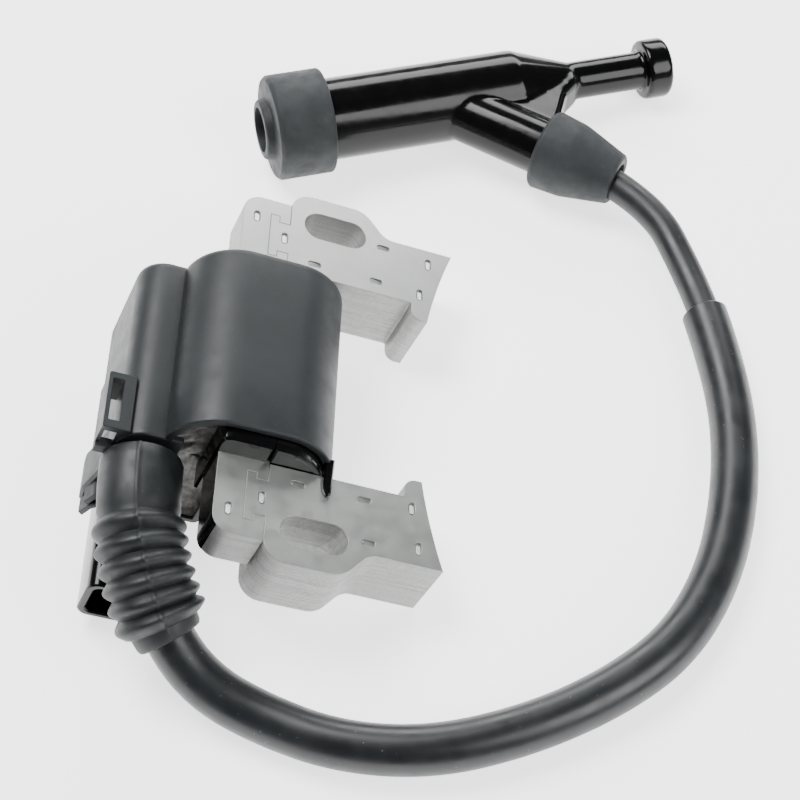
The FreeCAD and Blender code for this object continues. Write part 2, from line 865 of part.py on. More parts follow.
def high_tension_link(name):
    """The high tension terminal: a pin up the tower, a spike in the lead and an arm to the winding."""
    shank = rod(
        f"{name}_shank",
        "y",
        ("Dim.tower_x", "Dim.tower_bottom", "Dim.tower_z"),
        "Dim.link_radius",
        "Dim.tower_root + Dim.link_arm - Dim.tower_bottom",
    )
    spike = rod(
        f"{name}_spike",
        "y",
        ("Dim.tower_x", "Dim.spike_tip", "Dim.tower_z"),
        "Dim.spike_radius",
        "Dim.tower_bottom - Dim.spike_tip + 0.1",
    )
    arm = box(
        f"{name}_arm",
        ("Dim.tower_x - Dim.link_arm / 2", "Dim.link_arm_end"),
        ("Dim.tower_root", "Dim.tower_root + Dim.link_arm"),
        ("Dim.tower_z - Dim.link_arm / 2", "Dim.tower_z + Dim.link_arm / 2"),
    )
    return fuse(name, [shank, spike, arm])


def electronics():
    """The board with what is soldered to it, the terminals and the ground strap."""
    board = box("circuit_board_block", *BOARD_SPANS)
    holes = [
        box(
            f"board_hole_{index}",
            (
                f"Dim.pin_first + {index} * Dim.pin_pitch - Dim.pin_size",
                f"Dim.pin_first + {index} * Dim.pin_pitch + Dim.pin_size",
            ),
            ("Dim.pin_root - 1.5 * Dim.pin_size", "Dim.pin_root + 0.5 * Dim.pin_size"),
            (f"{BOARD_BACK}", "Dim.board_front + 1"),
        )
        for index in range(PIN_COUNT)
    ]
    keep(cut("circuit_board", board, holes), "circuit_board")
    keep(group("power_transistor", [box("transistor_block", *TRANSISTOR_SPANS)]), "power_transistor")
    keep(group("control_chip", [box("chip_block", *CHIP_SPANS)]), "control_chip")
    keep(group("filter_capacitor", [capacitor("capacitor_can")]), "filter_capacitor")
    keep(group("chip_resistors", resistors("chip_resistor")), "chip_resistors")
    keep(group("connector_terminals", pin_boxes("terminal")), "connector_terminals")
    keep(group("ground_strap", [box("strap_blade", *STRAP_SPANS)]), "ground_strap")
    keep(high_tension_link("ht_terminal"), "ht_terminal")


def potting_resin():
    """The resin that fills the case round everything in it."""
    block = cavity("resin_block", ("Dim.fill_end", "Dim.case_half_length - Dim.case_wall"))
    pockets = [
        secondary_oval(
            "resin_coil", "Dim.secondary_radius", ("-Dim.secondary_half_length", "Dim.secondary_half_length")
        ),
        box("resin_flanges", SECONDARY_OUTER[0], ("-Dim.primary_end", "Dim.primary_end"), SECONDARY_OUTER[1]),
        box("resin_sleeve", PRIMARY_OUTER[0], BEYOND_SPAN, PRIMARY_OUTER[1]),
        end_plate("resin_end_plate", PLATE_SPAN),
        rod(
            "resin_tower",
            "y",
            ("Dim.tower_x", "Dim.tower_tip", "Dim.tower_z"),
            "Dim.tower_radius",
            "Dim.tower_root - Dim.tower_tip",
        ),
        socket_shell("resin_socket", "0", ("Dim.socket_mouth", "Dim.socket_root"), "Dim.socket_radius"),
        box(
            "resin_end_wall",
            ("Dim.box_left", "Dim.end_wall_right"),
            (BEYOND_SPAN[0], "-Dim.case_half_length + Dim.case_wall"),
            ("Dim.box_back", "Dim.box_front"),
        ),
        box("resin_board", *BOARD_SPANS),
        box("resin_transistor", *TRANSISTOR_SPANS),
        box("resin_chip", *CHIP_SPANS),
        capacitor("resin_capacitor"),
        *resistors("resin_resistor"),
        *pin_boxes("resin_pin"),
        box("resin_strap", *STRAP_SPANS),
        high_tension_link("resin_terminal"),
    ]
    return keep(cut("potting_resin", block, pockets), "potting_resin")


# --- spark plug cap ------------------------------------------------------------------------------


def branch_rod(name, start, radius, end):
    """A cylinder along the cap's lead branch, between two distances from the barrel's axis."""
    cylinder = document.addObject("Part::Cylinder", name)
    angle = math.radians(size("branch_angle"))
    way = Vector(math.cos(angle), -math.sin(angle), 0)
    cylinder.Placement = Placement(Vector(), Rotation(Vector(0, 0, 1), way))
    cylinder.setExpression("Radius", str(radius))
    cylinder.setExpression("Height", f"({end}) - ({start})")
    place_base(
        cylinder,
        f"Dim.branch_station + ({start}) * cos(Dim.branch_angle * 1deg)",
        f"-({start}) * sin(Dim.branch_angle * 1deg)",
        "0",
    )
    return cylinder


def cap_body():
    """The cap: barrel, cone, pull stem with a knob, and the branch that takes the lead."""
    outside = turned(
        "cap_outside",
        [
            ("Dim.barrel_start", "0"),
            ("Dim.knob_end", "0"),
            ("Dim.knob_end", "Dim.knob_radius - Dim.knob_edge"),
            ("Dim.knob_end - Dim.knob_edge", "Dim.knob_radius"),
            ("Dim.stem_end + Dim.knob_edge", "Dim.knob_radius"),
            ("Dim.stem_end", "Dim.knob_radius - Dim.knob_edge"),
            ("Dim.stem_end", "Dim.stem_radius"),
            ("Dim.stem_start", "Dim.stem_radius"),
            ("Dim.barrel_end", "Dim.barrel_radius"),
            ("Dim.barrel_start", "Dim.barrel_radius"),
        ],
    )
    inside = turned(
        "cap_inside",
        [
            ("Dim.barrel_start - 1", "0"),
            ("Dim.chamber_end", "0"),
            ("Dim.chamber_end", "Dim.chamber_radius"),
            ("Dim.mouth_depth", "Dim.chamber_radius"),
            ("Dim.mouth_depth", "Dim.mouth_radius"),
            ("Dim.barrel_start - 1", "Dim.mouth_radius"),
        ],
    )
    branch = branch_rod("cap_branch", "0", "Dim.branch_radius", "Dim.branch_tip")
    solid = fuse("cap_solid", [outside, branch])
    lead_bore = branch_rod("cap_branch_bore", "Dim.branch_seat", "Dim.branch_bore", "Dim.branch_tip + 1")
    screw_hole = branch_rod("cap_screw_hole", "0", "Dim.screw_radius", "Dim.branch_seat + 1")
    return cut("cap_body", solid, [inside, lead_bore, screw_hole])


def cap_ring_seal():
    """The rubber ring on the cap's mouth, with a lip that grips the plug's insulator."""
    return turned(
        "cap_ring_seal",
        [
            ("Dim.ring_lip", "Dim.ring_bore"),
            ("Dim.ring_floor", "Dim.ring_bore"),
            ("Dim.ring_floor", "Dim.barrel_radius"),
            ("Dim.ring_grip", "Dim.barrel_radius"),
            ("Dim.ring_grip", "Dim.barrel_radius + 1"),
            ("Dim.ring_end", "Dim.barrel_radius + 1"),
            ("Dim.ring_end", "Dim.ring_radius"),
            ("Dim.ring_edge", "Dim.ring_radius"),
            ("0", "Dim.ring_radius - Dim.ring_edge"),
            ("0", "Dim.ring_lip_radius"),
            ("Dim.ring_lip", "Dim.ring_lip_radius"),
        ],
    )


def cap_lead_seal():
    """The tapered rubber sleeve over the branch and the lead, turned about the branch."""
    seal = turned(
        "cap_lead_seal",
        [
            ("Dim.seal_start", "Dim.branch_radius"),
            ("Dim.branch_tip + Dim.seal_gap", "Dim.branch_radius"),
            ("Dim.branch_tip + Dim.seal_gap", "Dim.seal_bore"),
            ("Dim.seal_end", "Dim.seal_bore"),
            ("Dim.seal_end", "Dim.seal_narrow_radius"),
            ("Dim.seal_start + Dim.seal_straight", "Dim.seal_wide_radius - Dim.seal_edge"),
            ("Dim.seal_start + Dim.seal_edge", "Dim.seal_wide_radius"),
            ("Dim.seal_start", "Dim.seal_wide_radius - Dim.seal_edge"),
        ],
    )
    return seal


def cap_terminal():
    """The brass socket that snaps on the plug's terminal nut."""
    return turned(
        "cap_terminal",
        [
            ("Dim.terminal_start", "Dim.terminal_bore"),
            ("Dim.terminal_floor", "Dim.terminal_bore"),
            ("Dim.terminal_floor", "0"),
            ("Dim.terminal_end", "0"),
            ("Dim.terminal_end", "Dim.chamber_radius"),
            ("Dim.terminal_start", "Dim.chamber_radius"),
        ],
    )


def cap_resistor():
    """The suppressor resistor, a ceramic rod with a metal cap at each end and a ground waist."""
    return turned(
        "cap_resistor",
        [
            ("Dim.terminal_end", "0"),
            ("Dim.suppressor_end", "0"),
            ("Dim.suppressor_end", "Dim.suppressor_cap_radius"),
            ("Dim.suppressor_end - Dim.suppressor_cap_length", "Dim.suppressor_cap_radius"),
            ("Dim.suppressor_end - Dim.suppressor_cap_length", "Dim.suppressor_radius"),
            ("Dim.suppressor_waist_end", "Dim.suppressor_radius"),
            ("Dim.suppressor_waist_end", "Dim.suppressor_waist_radius"),
            ("Dim.suppressor_waist_start", "Dim.suppressor_waist_radius"),
            ("Dim.suppressor_waist_start", "Dim.suppressor_radius"),
            ("Dim.terminal_end + Dim.suppressor_cap_length", "Dim.suppressor_radius"),
            ("Dim.terminal_end + Dim.suppressor_cap_length", "Dim.suppressor_cap_radius"),
            ("Dim.terminal_end", "Dim.suppressor_cap_radius"),
        ],
    )


def cap_spring():
    """The contact spring behind the resistor, wound from round wire."""
    pitch, height = size("spring_pitch"), size("spring_turns") * size("spring_pitch")
    helix = Part.makeHelix(pitch, height, size("spring_radius"))
    first = helix.Edges[0]
    start, way = first.valueAt(first.FirstParameter), first.tangentAt(first.FirstParameter)
    section = Part.Wire([Part.makeCircle(size("spring_wire_radius"), start, way)])
    feature = document.addObject("Part::Feature", "cap_spring")
    feature.Shape = Part.Wire(helix.Edges).makePipeShell([section], True, True)
    return feature


def cap_screw():
    """The screw that enters the middle of the lead, with a seat in the branch."""
    return turned(
        "cap_screw",
        [
            ("Dim.screw_start", "0"),
            ("Dim.branch_seat + Dim.screw_point", "0"),
            ("Dim.branch_seat + Dim.screw_point - 1", "Dim.screw_point_radius"),
            ("Dim.branch_seat + 0.1", "Dim.screw_point_radius"),
            ("Dim.branch_seat + 0.1", "Dim.screw_radius"),
            ("Dim.screw_start", "Dim.screw_radius"),
        ],
    )


# --- lead ----------------------------------------------------------------------------------------


def path_of(points):
    """Straight runs joined by tangent arcs, with the radius of each arc."""
    edges, radii = [], []
    start = points[0]
    for before, corner, after in zip(points, points[1:], points[2:]):
        back, ahead = before - corner, after - corner
        shorter = min(back.Length, ahead.Length)
        reach = 0.45 * shorter
        turn = math.pi - back.getAngle(ahead)
        radii.append(reach / math.tan(turn / 2))
        back.normalize()
        ahead.normalize()
        first, last = corner + back * reach, corner + ahead * reach
        inward = back + ahead
        inward.normalize()
        depth = radii[-1] * (1 / math.cos(turn / 2) - 1)
        edges.append(Part.LineSegment(start, first).toShape())
        edges.append(Part.Arc(first, corner + inward * depth, last).toShape())
        start = last
    edges.append(Part.LineSegment(start, points[-1]).toShape())
    return Part.Wire(edges), radii


def part_of_path(wire, start, end):
    """The stretch of a path between two lengths along it."""
    pieces, travelled = [], 0.0
    for edge in wire.Edges:
        low, high = max(start - travelled, 0.0), min(end - travelled, edge.Length)
        if high - low > 1e-6:
            first, last = edge.getParameterByLength(low), edge.getParameterByLength(high)
            pieces.append(edge.Curve.toShape(first, last))
        travelled += edge.Length
    return Part.Wire(pieces)


def swept(wire, radius):
    """A round bar along a path."""
    first = wire.Edges[0]
    start, way = first.valueAt(first.FirstParameter), first.tangentAt(first.FirstParameter)
    section = Part.Wire([Part.makeCircle(radius, start, way)])
    return wire.makePipeShell([section], True, False)


def point_on(wire, distance):
    """The point and the direction at a length along a path."""
    travelled = 0.0
    for edge in wire.Edges:
        if distance <= travelled + edge.Length + 1e-6:
            parameter = edge.getParameterByLength(min(distance - travelled, edge.Length))
            return edge.valueAt(parameter), edge.tangentAt(parameter)
        travelled += edge.Length
    raise ValueError("beyond the end of the path")


# Distances along the lead from its end in the tower, except the last, which is from the barrel's axis.
CONDUCTOR_START = 3.2
BOOT_START = 1.2
COLLAR_END = 14.7
FIRST_RIB = 16.2
RIB_COUNT = 6
RIB_PITCH = 3.4
RIB_LENGTH = 2.2
BOOT_END = 38.0
SLEEVE_END = 235.0
LEAD_BEND = 54.0
# What is left of the lead's bore for the screw's point, and the gap between the lead and its seat.
SCREW_ROOM = 6.5
SEAT_GAP = 0.2


def cap_branch_frame(placement):
    """The start, and the direction, of the branch in the resting frame."""
    angle = math.radians(size("branch_angle"))
    way = placement.Rotation.multVec(Vector(math.cos(angle), -math.sin(angle), 0))
    start = placement.multVec(Vector(size("branch_station"), 0, 0))
    return start, way


def lead_parts(placement):
    """The lead, its core, its loose sleeve and the ribbed boot, all along one route."""
    start, way = cap_branch_frame(placement)
    route = [Vector(*p) for p in LEAD_ROUTE]
    route.append(start + way * LEAD_BEND)
    route.append(start + way * (size("branch_seat") + SEAT_GAP))
    wire, radii = path_of(route)
    report_route(route, wire, radii)
    lead_radius, core_radius = size("lead_diameter") / 2, size("lead_core_diameter") / 2
    bore = swept(wire, core_radius)
    lead = swept(wire, lead_radius).cut(bore)
    compare_volume("ht_lead", lead, math.pi * (lead_radius**2 - core_radius**2) * wire.Length)
    core = swept(part_of_path(wire, CONDUCTOR_START, wire.Length - SCREW_ROOM), core_radius)
    outer, inner = size("sleeve_diameter") / 2, size("sleeve_bore") / 2
    sleeve_path = part_of_path(wire, BOOT_END, SLEEVE_END)
    sleeve = swept(sleeve_path, outer).cut(swept(part_of_path(wire, BOOT_END - 1, SLEEVE_END + 1), inner))
    compare_volume("lead_sleeve", sleeve, math.pi * (outer**2 - inner**2) * sleeve_path.Length)
    boot = lead_boot(wire, size("tower_tip"), lead_radius)
    shapes = {"lead_boot": boot, "ht_lead": lead, "lead_conductor": core, "lead_sleeve": sleeve}
    for name, shape in shapes.items():
        feature = document.addObject("Part::Feature", name)
        feature.Shape = shape
        keep(feature, name, Placement())


def lead_boot(wire, tower_tip, lead_radius):
    """The ribbed rubber boot over the tower and the first stretch of the lead."""
    boot = swept(part_of_path(wire, BOOT_START, BOOT_END), size("boot_diameter") / 2)
    collar = swept(part_of_path(wire, BOOT_START, COLLAR_END), size("boot_collar_diameter") / 2)
    ribs = []
    for index in range(RIB_COUNT):
        middle, along = point_on(wire, FIRST_RIB + index * RIB_PITCH)
        foot = middle - along * (RIB_LENGTH / 2)
        ribs.append(Part.makeCylinder(size("boot_rib_diameter") / 2, RIB_LENGTH, foot, along))
    tower_length = LEAD_ROUTE[0][1] - tower_tip
    over_tower = swept(part_of_path(wire, 0.0, tower_length), size("tower_radius"))
    over_lead = swept(part_of_path(wire, tower_length - 1, BOOT_END + 1), lead_radius)
    return boot.fuse([collar, *ribs]).removeSplitter().cut(over_tower).cut(over_lead)


def report_route(route, wire, radii):
    """Print the runs, the bend radii and the length of the lead."""
    runs = [(b - a).Length for a, b in zip(route, route[1:])]
    print("lead runs", [round(run, 1) for run in runs])
    print("lead bend radii", [round(radius, 1) for radius in radii])
    print("lead length", round(wire.Length, 1), "runs added up", round(sum(runs), 1))


def compare_volume(name, shape, expected):
    """Print a swept solid's volume beside its section times its length."""
    print(f"{name} volume {shape.Volume:.1f}, section times length {expected:.1f}")


# --- assembly ------------------------------------------------------------------------------------


def cap_parts(placement):
    """The pieces of the cap, each placed by the cap's resting placement."""
    angle = size("branch_angle")
    branch_frame = Placement(
        Vector(size("branch_station"), 0, 0), Rotation(Vector(0, 0, 1), -angle)
    )
    spring_frame = Placement(Vector(size("spring_start"), 0, 0), AXIS_TURNS["x"])
    keep(cap_body(), "cap_body", placement)
    keep(cap_ring_seal(), "cap_ring_seal", placement)
    keep(cap_lead_seal(), "cap_lead_seal", placement.multiply(branch_frame))
    keep(cap_terminal(), "cap_terminal", placement)
    keep(cap_resistor(), "cap_resistor", placement)
    keep(cap_spring(), "cap_spring", placement.multiply(spring_frame))
    keep(cap_screw(), "cap_screw", placement.multiply(branch_frame))


def cap_placement():
    """The cap lying on its ring and its knob."""
    turn = Rotation(Vector(0, 0, 1), CAP_YAW).multiply(Rotation(Vector(0, 1, 0), CAP_PITCH))
    turn = turn.multiply(Rotation(Vector(1, 0, 0), CAP_ROLL))
    return Placement(Vector(*CAP_ORIGIN), turn)


def rest_angle():
    """The tilt at which the back corner of the case and the leg tips touch one level surface."""
    tip = size("flywheel_centre") - math.sqrt(size("pole_radius") ** 2 - size("leg_outer") ** 2)
    corner = size("box_back_radius")
    run = tip - (size("box_right") - corner)
    rise = -size("stack_depth") - (size("box_back") + corner)
    return math.degrees(math.atan2(rise, run) + math.asin(corner / math.hypot(run, rise)))


def lay_down():
    """Tilt the coil unit to its rest and set it down with the centre of its base at the origin."""
    document.recompute()
    tilt = Placement(Vector(), Rotation(Vector(0, 1, 0), rest_angle()))
    bounds = FreeCAD.BoundBox()
    for thing, _, placement in parts:
        if placement is None:
            shape = thing.Shape.copy()
            shape.Placement = tilt.multiply(shape.Placement)
            bounds.add(shape.optimalBoundingBox(False, False))
    shift = Vector(-bounds.Center.x, -bounds.Center.y, -bounds.ZMin)
    print(f"rest angle {rest_angle():.3f}, unit shifted by {shift}, its size {bounds}")
    for thing, _, placement in parts:
        thing.Placement = Placement(shift, Rotation()).multiply(tilt) if placement is None else placement
    document.recompute()


def check_and_write():
    """Refuse any failed object or bad shape, then write one file for each sub-part."""
    for thing in document.Objects:
        if "Invalid" in thing.State or "Error" in thing.State:
            raise RuntimeError(f"{thing.Name} failed: {thing.State}")
    for thing, label, _ in parts:
        if thing.Shape.isNull() or not thing.Shape.isValid():
            raise RuntimeError(f"{label} has no valid shape")
    os.makedirs("parts", exist_ok=True)
    for thing, label, _ in parts:
        shape = thing.Shape
        print(f"{label}: {len(shape.Solids)} solid(s), {shape.Volume:.1f} mm3")
        shape.exportStep(f"parts/{label}.step")


fill_sheet()
core_bar()
leg("upper_leg", "")
leg("lower_leg", "-")
coil_case()
primary_bobbin()
primary_winding()
secondary_bobbin()
secondary_winding()
electronics()
potting_resin()
resting_cap = cap_placement()
cap_parts(resting_cap)
lead_parts(resting_cap)
lay_down()
check_and_write()
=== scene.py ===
import json
import math
import random

import bpy
from mathutils import Matrix, Vector
from mathutils.geometry import tessellate_polygon


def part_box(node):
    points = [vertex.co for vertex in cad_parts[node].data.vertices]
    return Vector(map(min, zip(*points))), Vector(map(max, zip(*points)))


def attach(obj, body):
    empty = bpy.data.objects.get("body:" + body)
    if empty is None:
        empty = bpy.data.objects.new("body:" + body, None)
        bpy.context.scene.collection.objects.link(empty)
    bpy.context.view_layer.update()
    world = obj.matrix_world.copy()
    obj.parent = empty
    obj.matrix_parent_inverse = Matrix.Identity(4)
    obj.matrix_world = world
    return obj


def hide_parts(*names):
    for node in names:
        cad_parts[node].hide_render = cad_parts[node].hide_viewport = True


# An ignition coil of a small engine, lying on a pale floor with its lead and spark plug cap.
# Sizes are in millimetres and are turned into metres where a mesh is made.
# The coil unit's pieces are made in its unit frame: X from the crossbar to the flywheel, Y along the
# crossbar, Z out of the front lamination. The cap's pieces are made with X along its barrel.

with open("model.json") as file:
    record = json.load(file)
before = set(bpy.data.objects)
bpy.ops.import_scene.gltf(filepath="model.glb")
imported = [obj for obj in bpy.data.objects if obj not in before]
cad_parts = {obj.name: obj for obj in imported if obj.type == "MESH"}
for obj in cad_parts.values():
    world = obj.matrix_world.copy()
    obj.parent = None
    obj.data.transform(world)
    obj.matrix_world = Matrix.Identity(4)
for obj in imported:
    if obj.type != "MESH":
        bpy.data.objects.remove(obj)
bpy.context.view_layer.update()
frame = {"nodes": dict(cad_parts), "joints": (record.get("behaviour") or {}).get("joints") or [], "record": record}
MM = 0.001
ROUND_STEPS = 6

mounts = {mount["name"]: mount for mount in frame["record"]["mounts"]}
swivel = frame["joints"][0]


# --- places ---

BAR_LEFT = 3.0
BAR_DEPTH = 10.0
SEAT_AXIS = mounts["upper_seat"]["axis"]
TILT = math.atan2(-SEAT_AXIS[0], -SEAT_AXIS[2])


def unit_to_row():
    """The coil unit's frame in the row frame, from the seats' axis and the crossbar's box."""
    turn = Matrix.Rotation(TILT, 4, "Y")
    low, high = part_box("core_bar")
    back_corner = turn @ Vector((BAR_LEFT, 0, -BAR_DEPTH)) * MM
    front_corner = turn @ Vector((BAR_LEFT, 0, 0)) * MM
    shift = Vector((low.x - back_corner.x, 0, high.z - front_corner.z))
    return Matrix.Translation(shift) @ turn


BRANCH_ANGLE = math.radians(45.5)
BRANCH_STATION = 40.6
MOUTH_STATION = -0.7


def cap_to_row():
    """The cap's frame in the row frame, from the plug's bore and the branch's axis."""
    x_axis = -Vector(mounts["plug_mouth"]["axis"]).normalized()
    branch = Vector(swivel["axis"]).normalized()
    y_axis = ((x_axis * math.cos(BRANCH_ANGLE) - branch) / math.sin(BRANCH_ANGLE)).normalized()
    z_axis = x_axis.cross(y_axis)
    origin = Vector(mounts["plug_mouth"]["pos_m"]) - x_axis * MOUTH_STATION * MM
    return Matrix.Translation(origin) @ Matrix((x_axis, y_axis, z_axis)).transposed().to_4x4()


UNIT = unit_to_row()
CAP = cap_to_row()
BRANCH = CAP @ Matrix.Translation((BRANCH_STATION * MM, 0, 0)) @ Matrix.Rotation(-BRANCH_ANGLE, 4, "Z")
# Outlines drawn across the unit are extruded along its Y: their u, v, w are X, Z and -Y.
ACROSS = UNIT @ Matrix(((1, 0, 0, 0), (0, 0, -1, 0), (0, 1, 0, 0), (0, 0, 0, 1)))


# --- camera, light and floor ---

CAMERA_PLACE = (0.0290, -0.2316, 0.3458)
CAMERA_TURN = (35.096, -1.187, 1.949)
CAMERA_LENS = 88.0
LAMP_TARGET = (0.03, 0.0, 0.0)
FLOOR_HALF = 1.5
FLOOR_GLOW = 2.0


def add_camera():
    """The camera in front of the coil, looking down at it."""
    camera = bpy.data.cameras.new("camera")
    camera.lens = CAMERA_LENS
    camera.sensor_width = 36.0
    camera.clip_start = 0.01
    holder = bpy.data.objects.new("camera", camera)
    holder.location = CAMERA_PLACE
    holder.rotation_euler = [math.radians(angle) for angle in CAMERA_TURN]
    bpy.context.scene.collection.objects.link(holder)
    bpy.context.scene.camera = holder


def add_light(name, place, width, power, height=None):
    """A soft rectangular lamp aimed at the object."""
    lamp = bpy.data.lights.new(name, "AREA")
    lamp.shape = "RECTANGLE"
    lamp.size = width
    lamp.size_y = height or width
    lamp.energy = power
    holder = bpy.data.objects.new(name, lamp)
    holder.location = place
    holder.rotation_euler = (Vector(LAMP_TARGET) - Vector(place)).to_track_quat("-Z", "Y").to_euler()
    bpy.context.scene.collection.objects.link(holder)


def add_surroundings():
    """A white floor that glows a little, a sky brighter at the horizon, and three soft lamps."""
    world = bpy.data.worlds.new("studio")
    world.use_nodes = True
    tree = world.node_tree
    way = tree.nodes.new("ShaderNodeTexCoord").outputs["Generated"]
    parts = tree.nodes.new("ShaderNodeSeparateXYZ")
    sky = tree.nodes.new("ShaderNodeValToRGB")
    tree.links.new(way, parts.inputs["Vector"])
    tree.links.new(parts.outputs["Z"], sky.inputs["Fac"])
    tree.links.new(sky.outputs["Color"], tree.nodes["Background"].inputs["Color"])
    low, high = sky.color_ramp.elements
    low.position, low.color = 0.0, (0.60, 0.61, 0.63, 1.0)
    high.position, high.color = 0.35, (0.09, 0.095, 0.10, 1.0)
    tree.nodes["Background"].inputs["Strength"].default_value = 1.0
    bpy.context.scene.world = world
    add_light("key", (-0.30, 0.25, 0.75), 0.45, 11.0)
    add_light("fill", (0.60, -0.35, 0.55), 0.5, 6.0)
    add_light("rim", (0.10, 0.70, 0.40), 0.7, 6.0, 0.3)
    corners = [(x * FLOOR_HALF, y * FLOOR_HALF, 0) for x, y in ((-1, -1), (1, -1), (1, 1), (-1, 1))]
    mesh = bpy.data.meshes.new("floor")
    mesh.from_pydata(corners, [], [(0, 1, 2, 3)])
    floor = bpy.data.objects.new("floor", mesh)
    bpy.context.scene.collection.objects.link(floor)
    material = bpy.data.materials.new("floor")
    material.use_nodes = True
    shader = material.node_tree.nodes["Principled BSDF"]
    shader.inputs["Base Color"].default_value = (0.92, 0.92, 0.92, 1.0)
    shader.inputs["Roughness"].default_value = 0.9
    shader.inputs["Emission Color"].default_value = (1.0, 1.0, 1.0, 1.0)
    shader.inputs["Emission Strength"].default_value = FLOOR_GLOW
    mesh.materials.append(material)


# --- materials ---


class Surface:
    """A Principled material whose procedural nodes are added one by one."""

    def __init__(self, name, color, roughness, metallic=0.0, specular=0.5):
        self.material = bpy.data.materials.new(name)
        self.material.use_nodes = True
        self.tree = self.material.node_tree
        self.link = self.tree.links.new
        self.shader = self.tree.nodes["Principled BSDF"]
        self.shader.inputs["Base Color"].default_value = (*color, 1.0)
        self.shader.inputs["Roughness"].default_value = roughness
        self.shader.inputs["Metallic"].default_value = metallic
        self.shader.inputs["Specular IOR Level"].default_value = specular
        mapping = self.node("Mapping")
        mapping.inputs["Rotation"].default_value = (0.0, -TILT, 0.0)
        place = self.node("TexCoord").outputs["Object"]
        self.link(place, mapping.inputs["Vector"])
        self.place = mapping.outputs["Vector"]
        self.color = color
        self.normal = None

    def node(self, kind):
        """Add a shader node."""
        return self.tree.nodes.new(f"ShaderNode{kind}")

    def noise(self, scale, detail=4.0, rough=0.6, stretch=(1.0, 1.0, 1.0)):
        """A noise pattern, its scale counted per metre, finer along the stretched axes."""
        mapping = self.node("Mapping")
        mapping.inputs["Scale"].default_value = [scale * factor for factor in stretch]
        self.link(self.place, mapping.inputs["Vector"])
        noise = self.node("TexNoise")
        noise.inputs["Scale"].default_value = 1.0
        noise.inputs["Detail"].default_value = detail
        noise.inputs["Roughness"].default_value = rough
        self.link(mapping.outputs["Vector"], noise.inputs["Vector"])
        return noise.outputs["Fac"]

    def ramp(self, source, stops):
        """Map a pattern through grey or colour stops."""
        ramp = self.node("ValToRGB")
        elements = ramp.color_ramp.elements
        while len(elements) < len(stops):
            elements.new(0.5)
        for element, (position, value) in zip(elements, stops):
            element.position = position
            element.color = (*value, 1.0) if isinstance(value, tuple) else (value, value, value, 1.0)
        self.link(source, ramp.inputs["Fac"])
        return ramp.outputs["Color"]

    def tint(self, source, low, high, start=0.3, end=0.7):
        """Vary the base colour between two shades of it by a pattern."""
        dark = tuple(channel * low for channel in self.color)
        light = tuple(min(channel * high, 1.0) for channel in self.color)
        shades = self.ramp(source, [(start, dark), (end, light)])
        self.link(shades, self.shader.inputs["Base Color"])

    def blend(self, first, second, amount):
        """Mix two colours by a pattern, and use the result as the base colour."""
        mix = self.node("Mix")
        mix.data_type = "RGBA"
        self.link(amount, mix.inputs[0])
        for socket, value in ((mix.inputs[6], first), (mix.inputs[7], second)):
            if isinstance(value, tuple):
                socket.default_value = (*value, 1.0)
            else:
                self.link(value, socket)
        self.link(mix.outputs[2], self.shader.inputs["Base Color"])

    def roughen(self, source, low, high, start=0.3, end=0.7):
        """Vary the roughness by a pattern."""
        self.link(self.ramp(source, [(start, low), (end, high)]), self.shader.inputs["Roughness"])

    def bump(self, source, strength, height):
        """Add a layer of relief, its height in millimetres."""
        bump = self.node("Bump")
        bump.inputs["Strength"].default_value = strength
        bump.inputs["Distance"].default_value = height * MM
        self.link(source, bump.inputs["Height"])
        if self.normal is not None:
            self.link(self.normal, bump.inputs["Normal"])
        self.normal = bump.outputs["Normal"]
        self.link(self.normal, self.shader.inputs["Normal"])

    def specks(self, scale, share, color):
        """Scatter small pale specks, as dust on a dark surface."""
        cells = self.node("TexVoronoi")
        cells.inputs["Scale"].default_value = scale
        self.link(self.place, cells.inputs["Vector"])
        dots = self.ramp(cells.outputs["Distance"], [(0.06, 1.0), (0.14, 0.0)])
        cut = 1.0 - share
        chosen = self.ramp(self.noise(scale * 0.8, detail=0.0), [(cut - 0.04, 0.0), (cut, 1.0)])
        both = self.node("Math")
        both.operation = "MULTIPLY"
        self.link(dots, both.inputs[0])
        self.link(chosen, both.inputs[1])
        base = self.shader.inputs["Base Color"]
        under = base.links[0].from_socket if base.links else self.color
        self.blend(under, color, both.outputs["Value"])


def steel_sheet():
    """Bare electrical steel: a satin rolled face with faint scratches and a patchy sheen."""
    surface = Surface("steel_sheet", (0.50, 0.52, 0.50), 0.36, metallic=0.9)
    surface.tint(surface.noise(160.0, detail=6.0), 0.93, 1.05)
    surface.roughen(surface.noise(420.0, detail=5.0), 0.32, 0.42)
    surface.bump(surface.noise(900.0, detail=3.0, stretch=(0.06, 1.6, 1.0)), 0.25, 0.02)
    surface.bump(surface.noise(2600.0, detail=2.0), 0.18, 0.02)
    return surface.material


def steel_edge():
    """The cut edges of the sheets: uneven from one sheet to the next, with a rough break."""
    surface = Surface("steel_edge", (0.37, 0.37, 0.365), 0.45, metallic=0.8)
    surface.tint(surface.noise(1000.0, detail=2.0, stretch=(0.05, 0.05, 2.2)), 0.82, 1.14)
    surface.roughen(surface.noise(1500.0, detail=3.0), 0.38, 0.65)
    surface.bump(surface.noise(1800.0, detail=4.0), 0.5, 0.05)
    return surface.material


def case_plastic():
    """Moulded black plastic with a fine matte grain and a slightly uneven sheen."""
    surface = Surface("case_plastic", (0.010, 0.0125, 0.014), 0.48, specular=0.4)
    surface.tint(surface.noise(90.0, detail=5.0), 0.85, 1.25)
    surface.roughen(surface.noise(240.0, detail=5.0), 0.42, 0.56)
    surface.bump(surface.noise(5200.0, detail=2.0), 0.35, 0.02)
    surface.bump(surface.noise(260.0, detail=3.0), 0.12, 0.05)
    surface.specks(1400.0, 0.34, (0.06, 0.06, 0.06))
    return surface.material


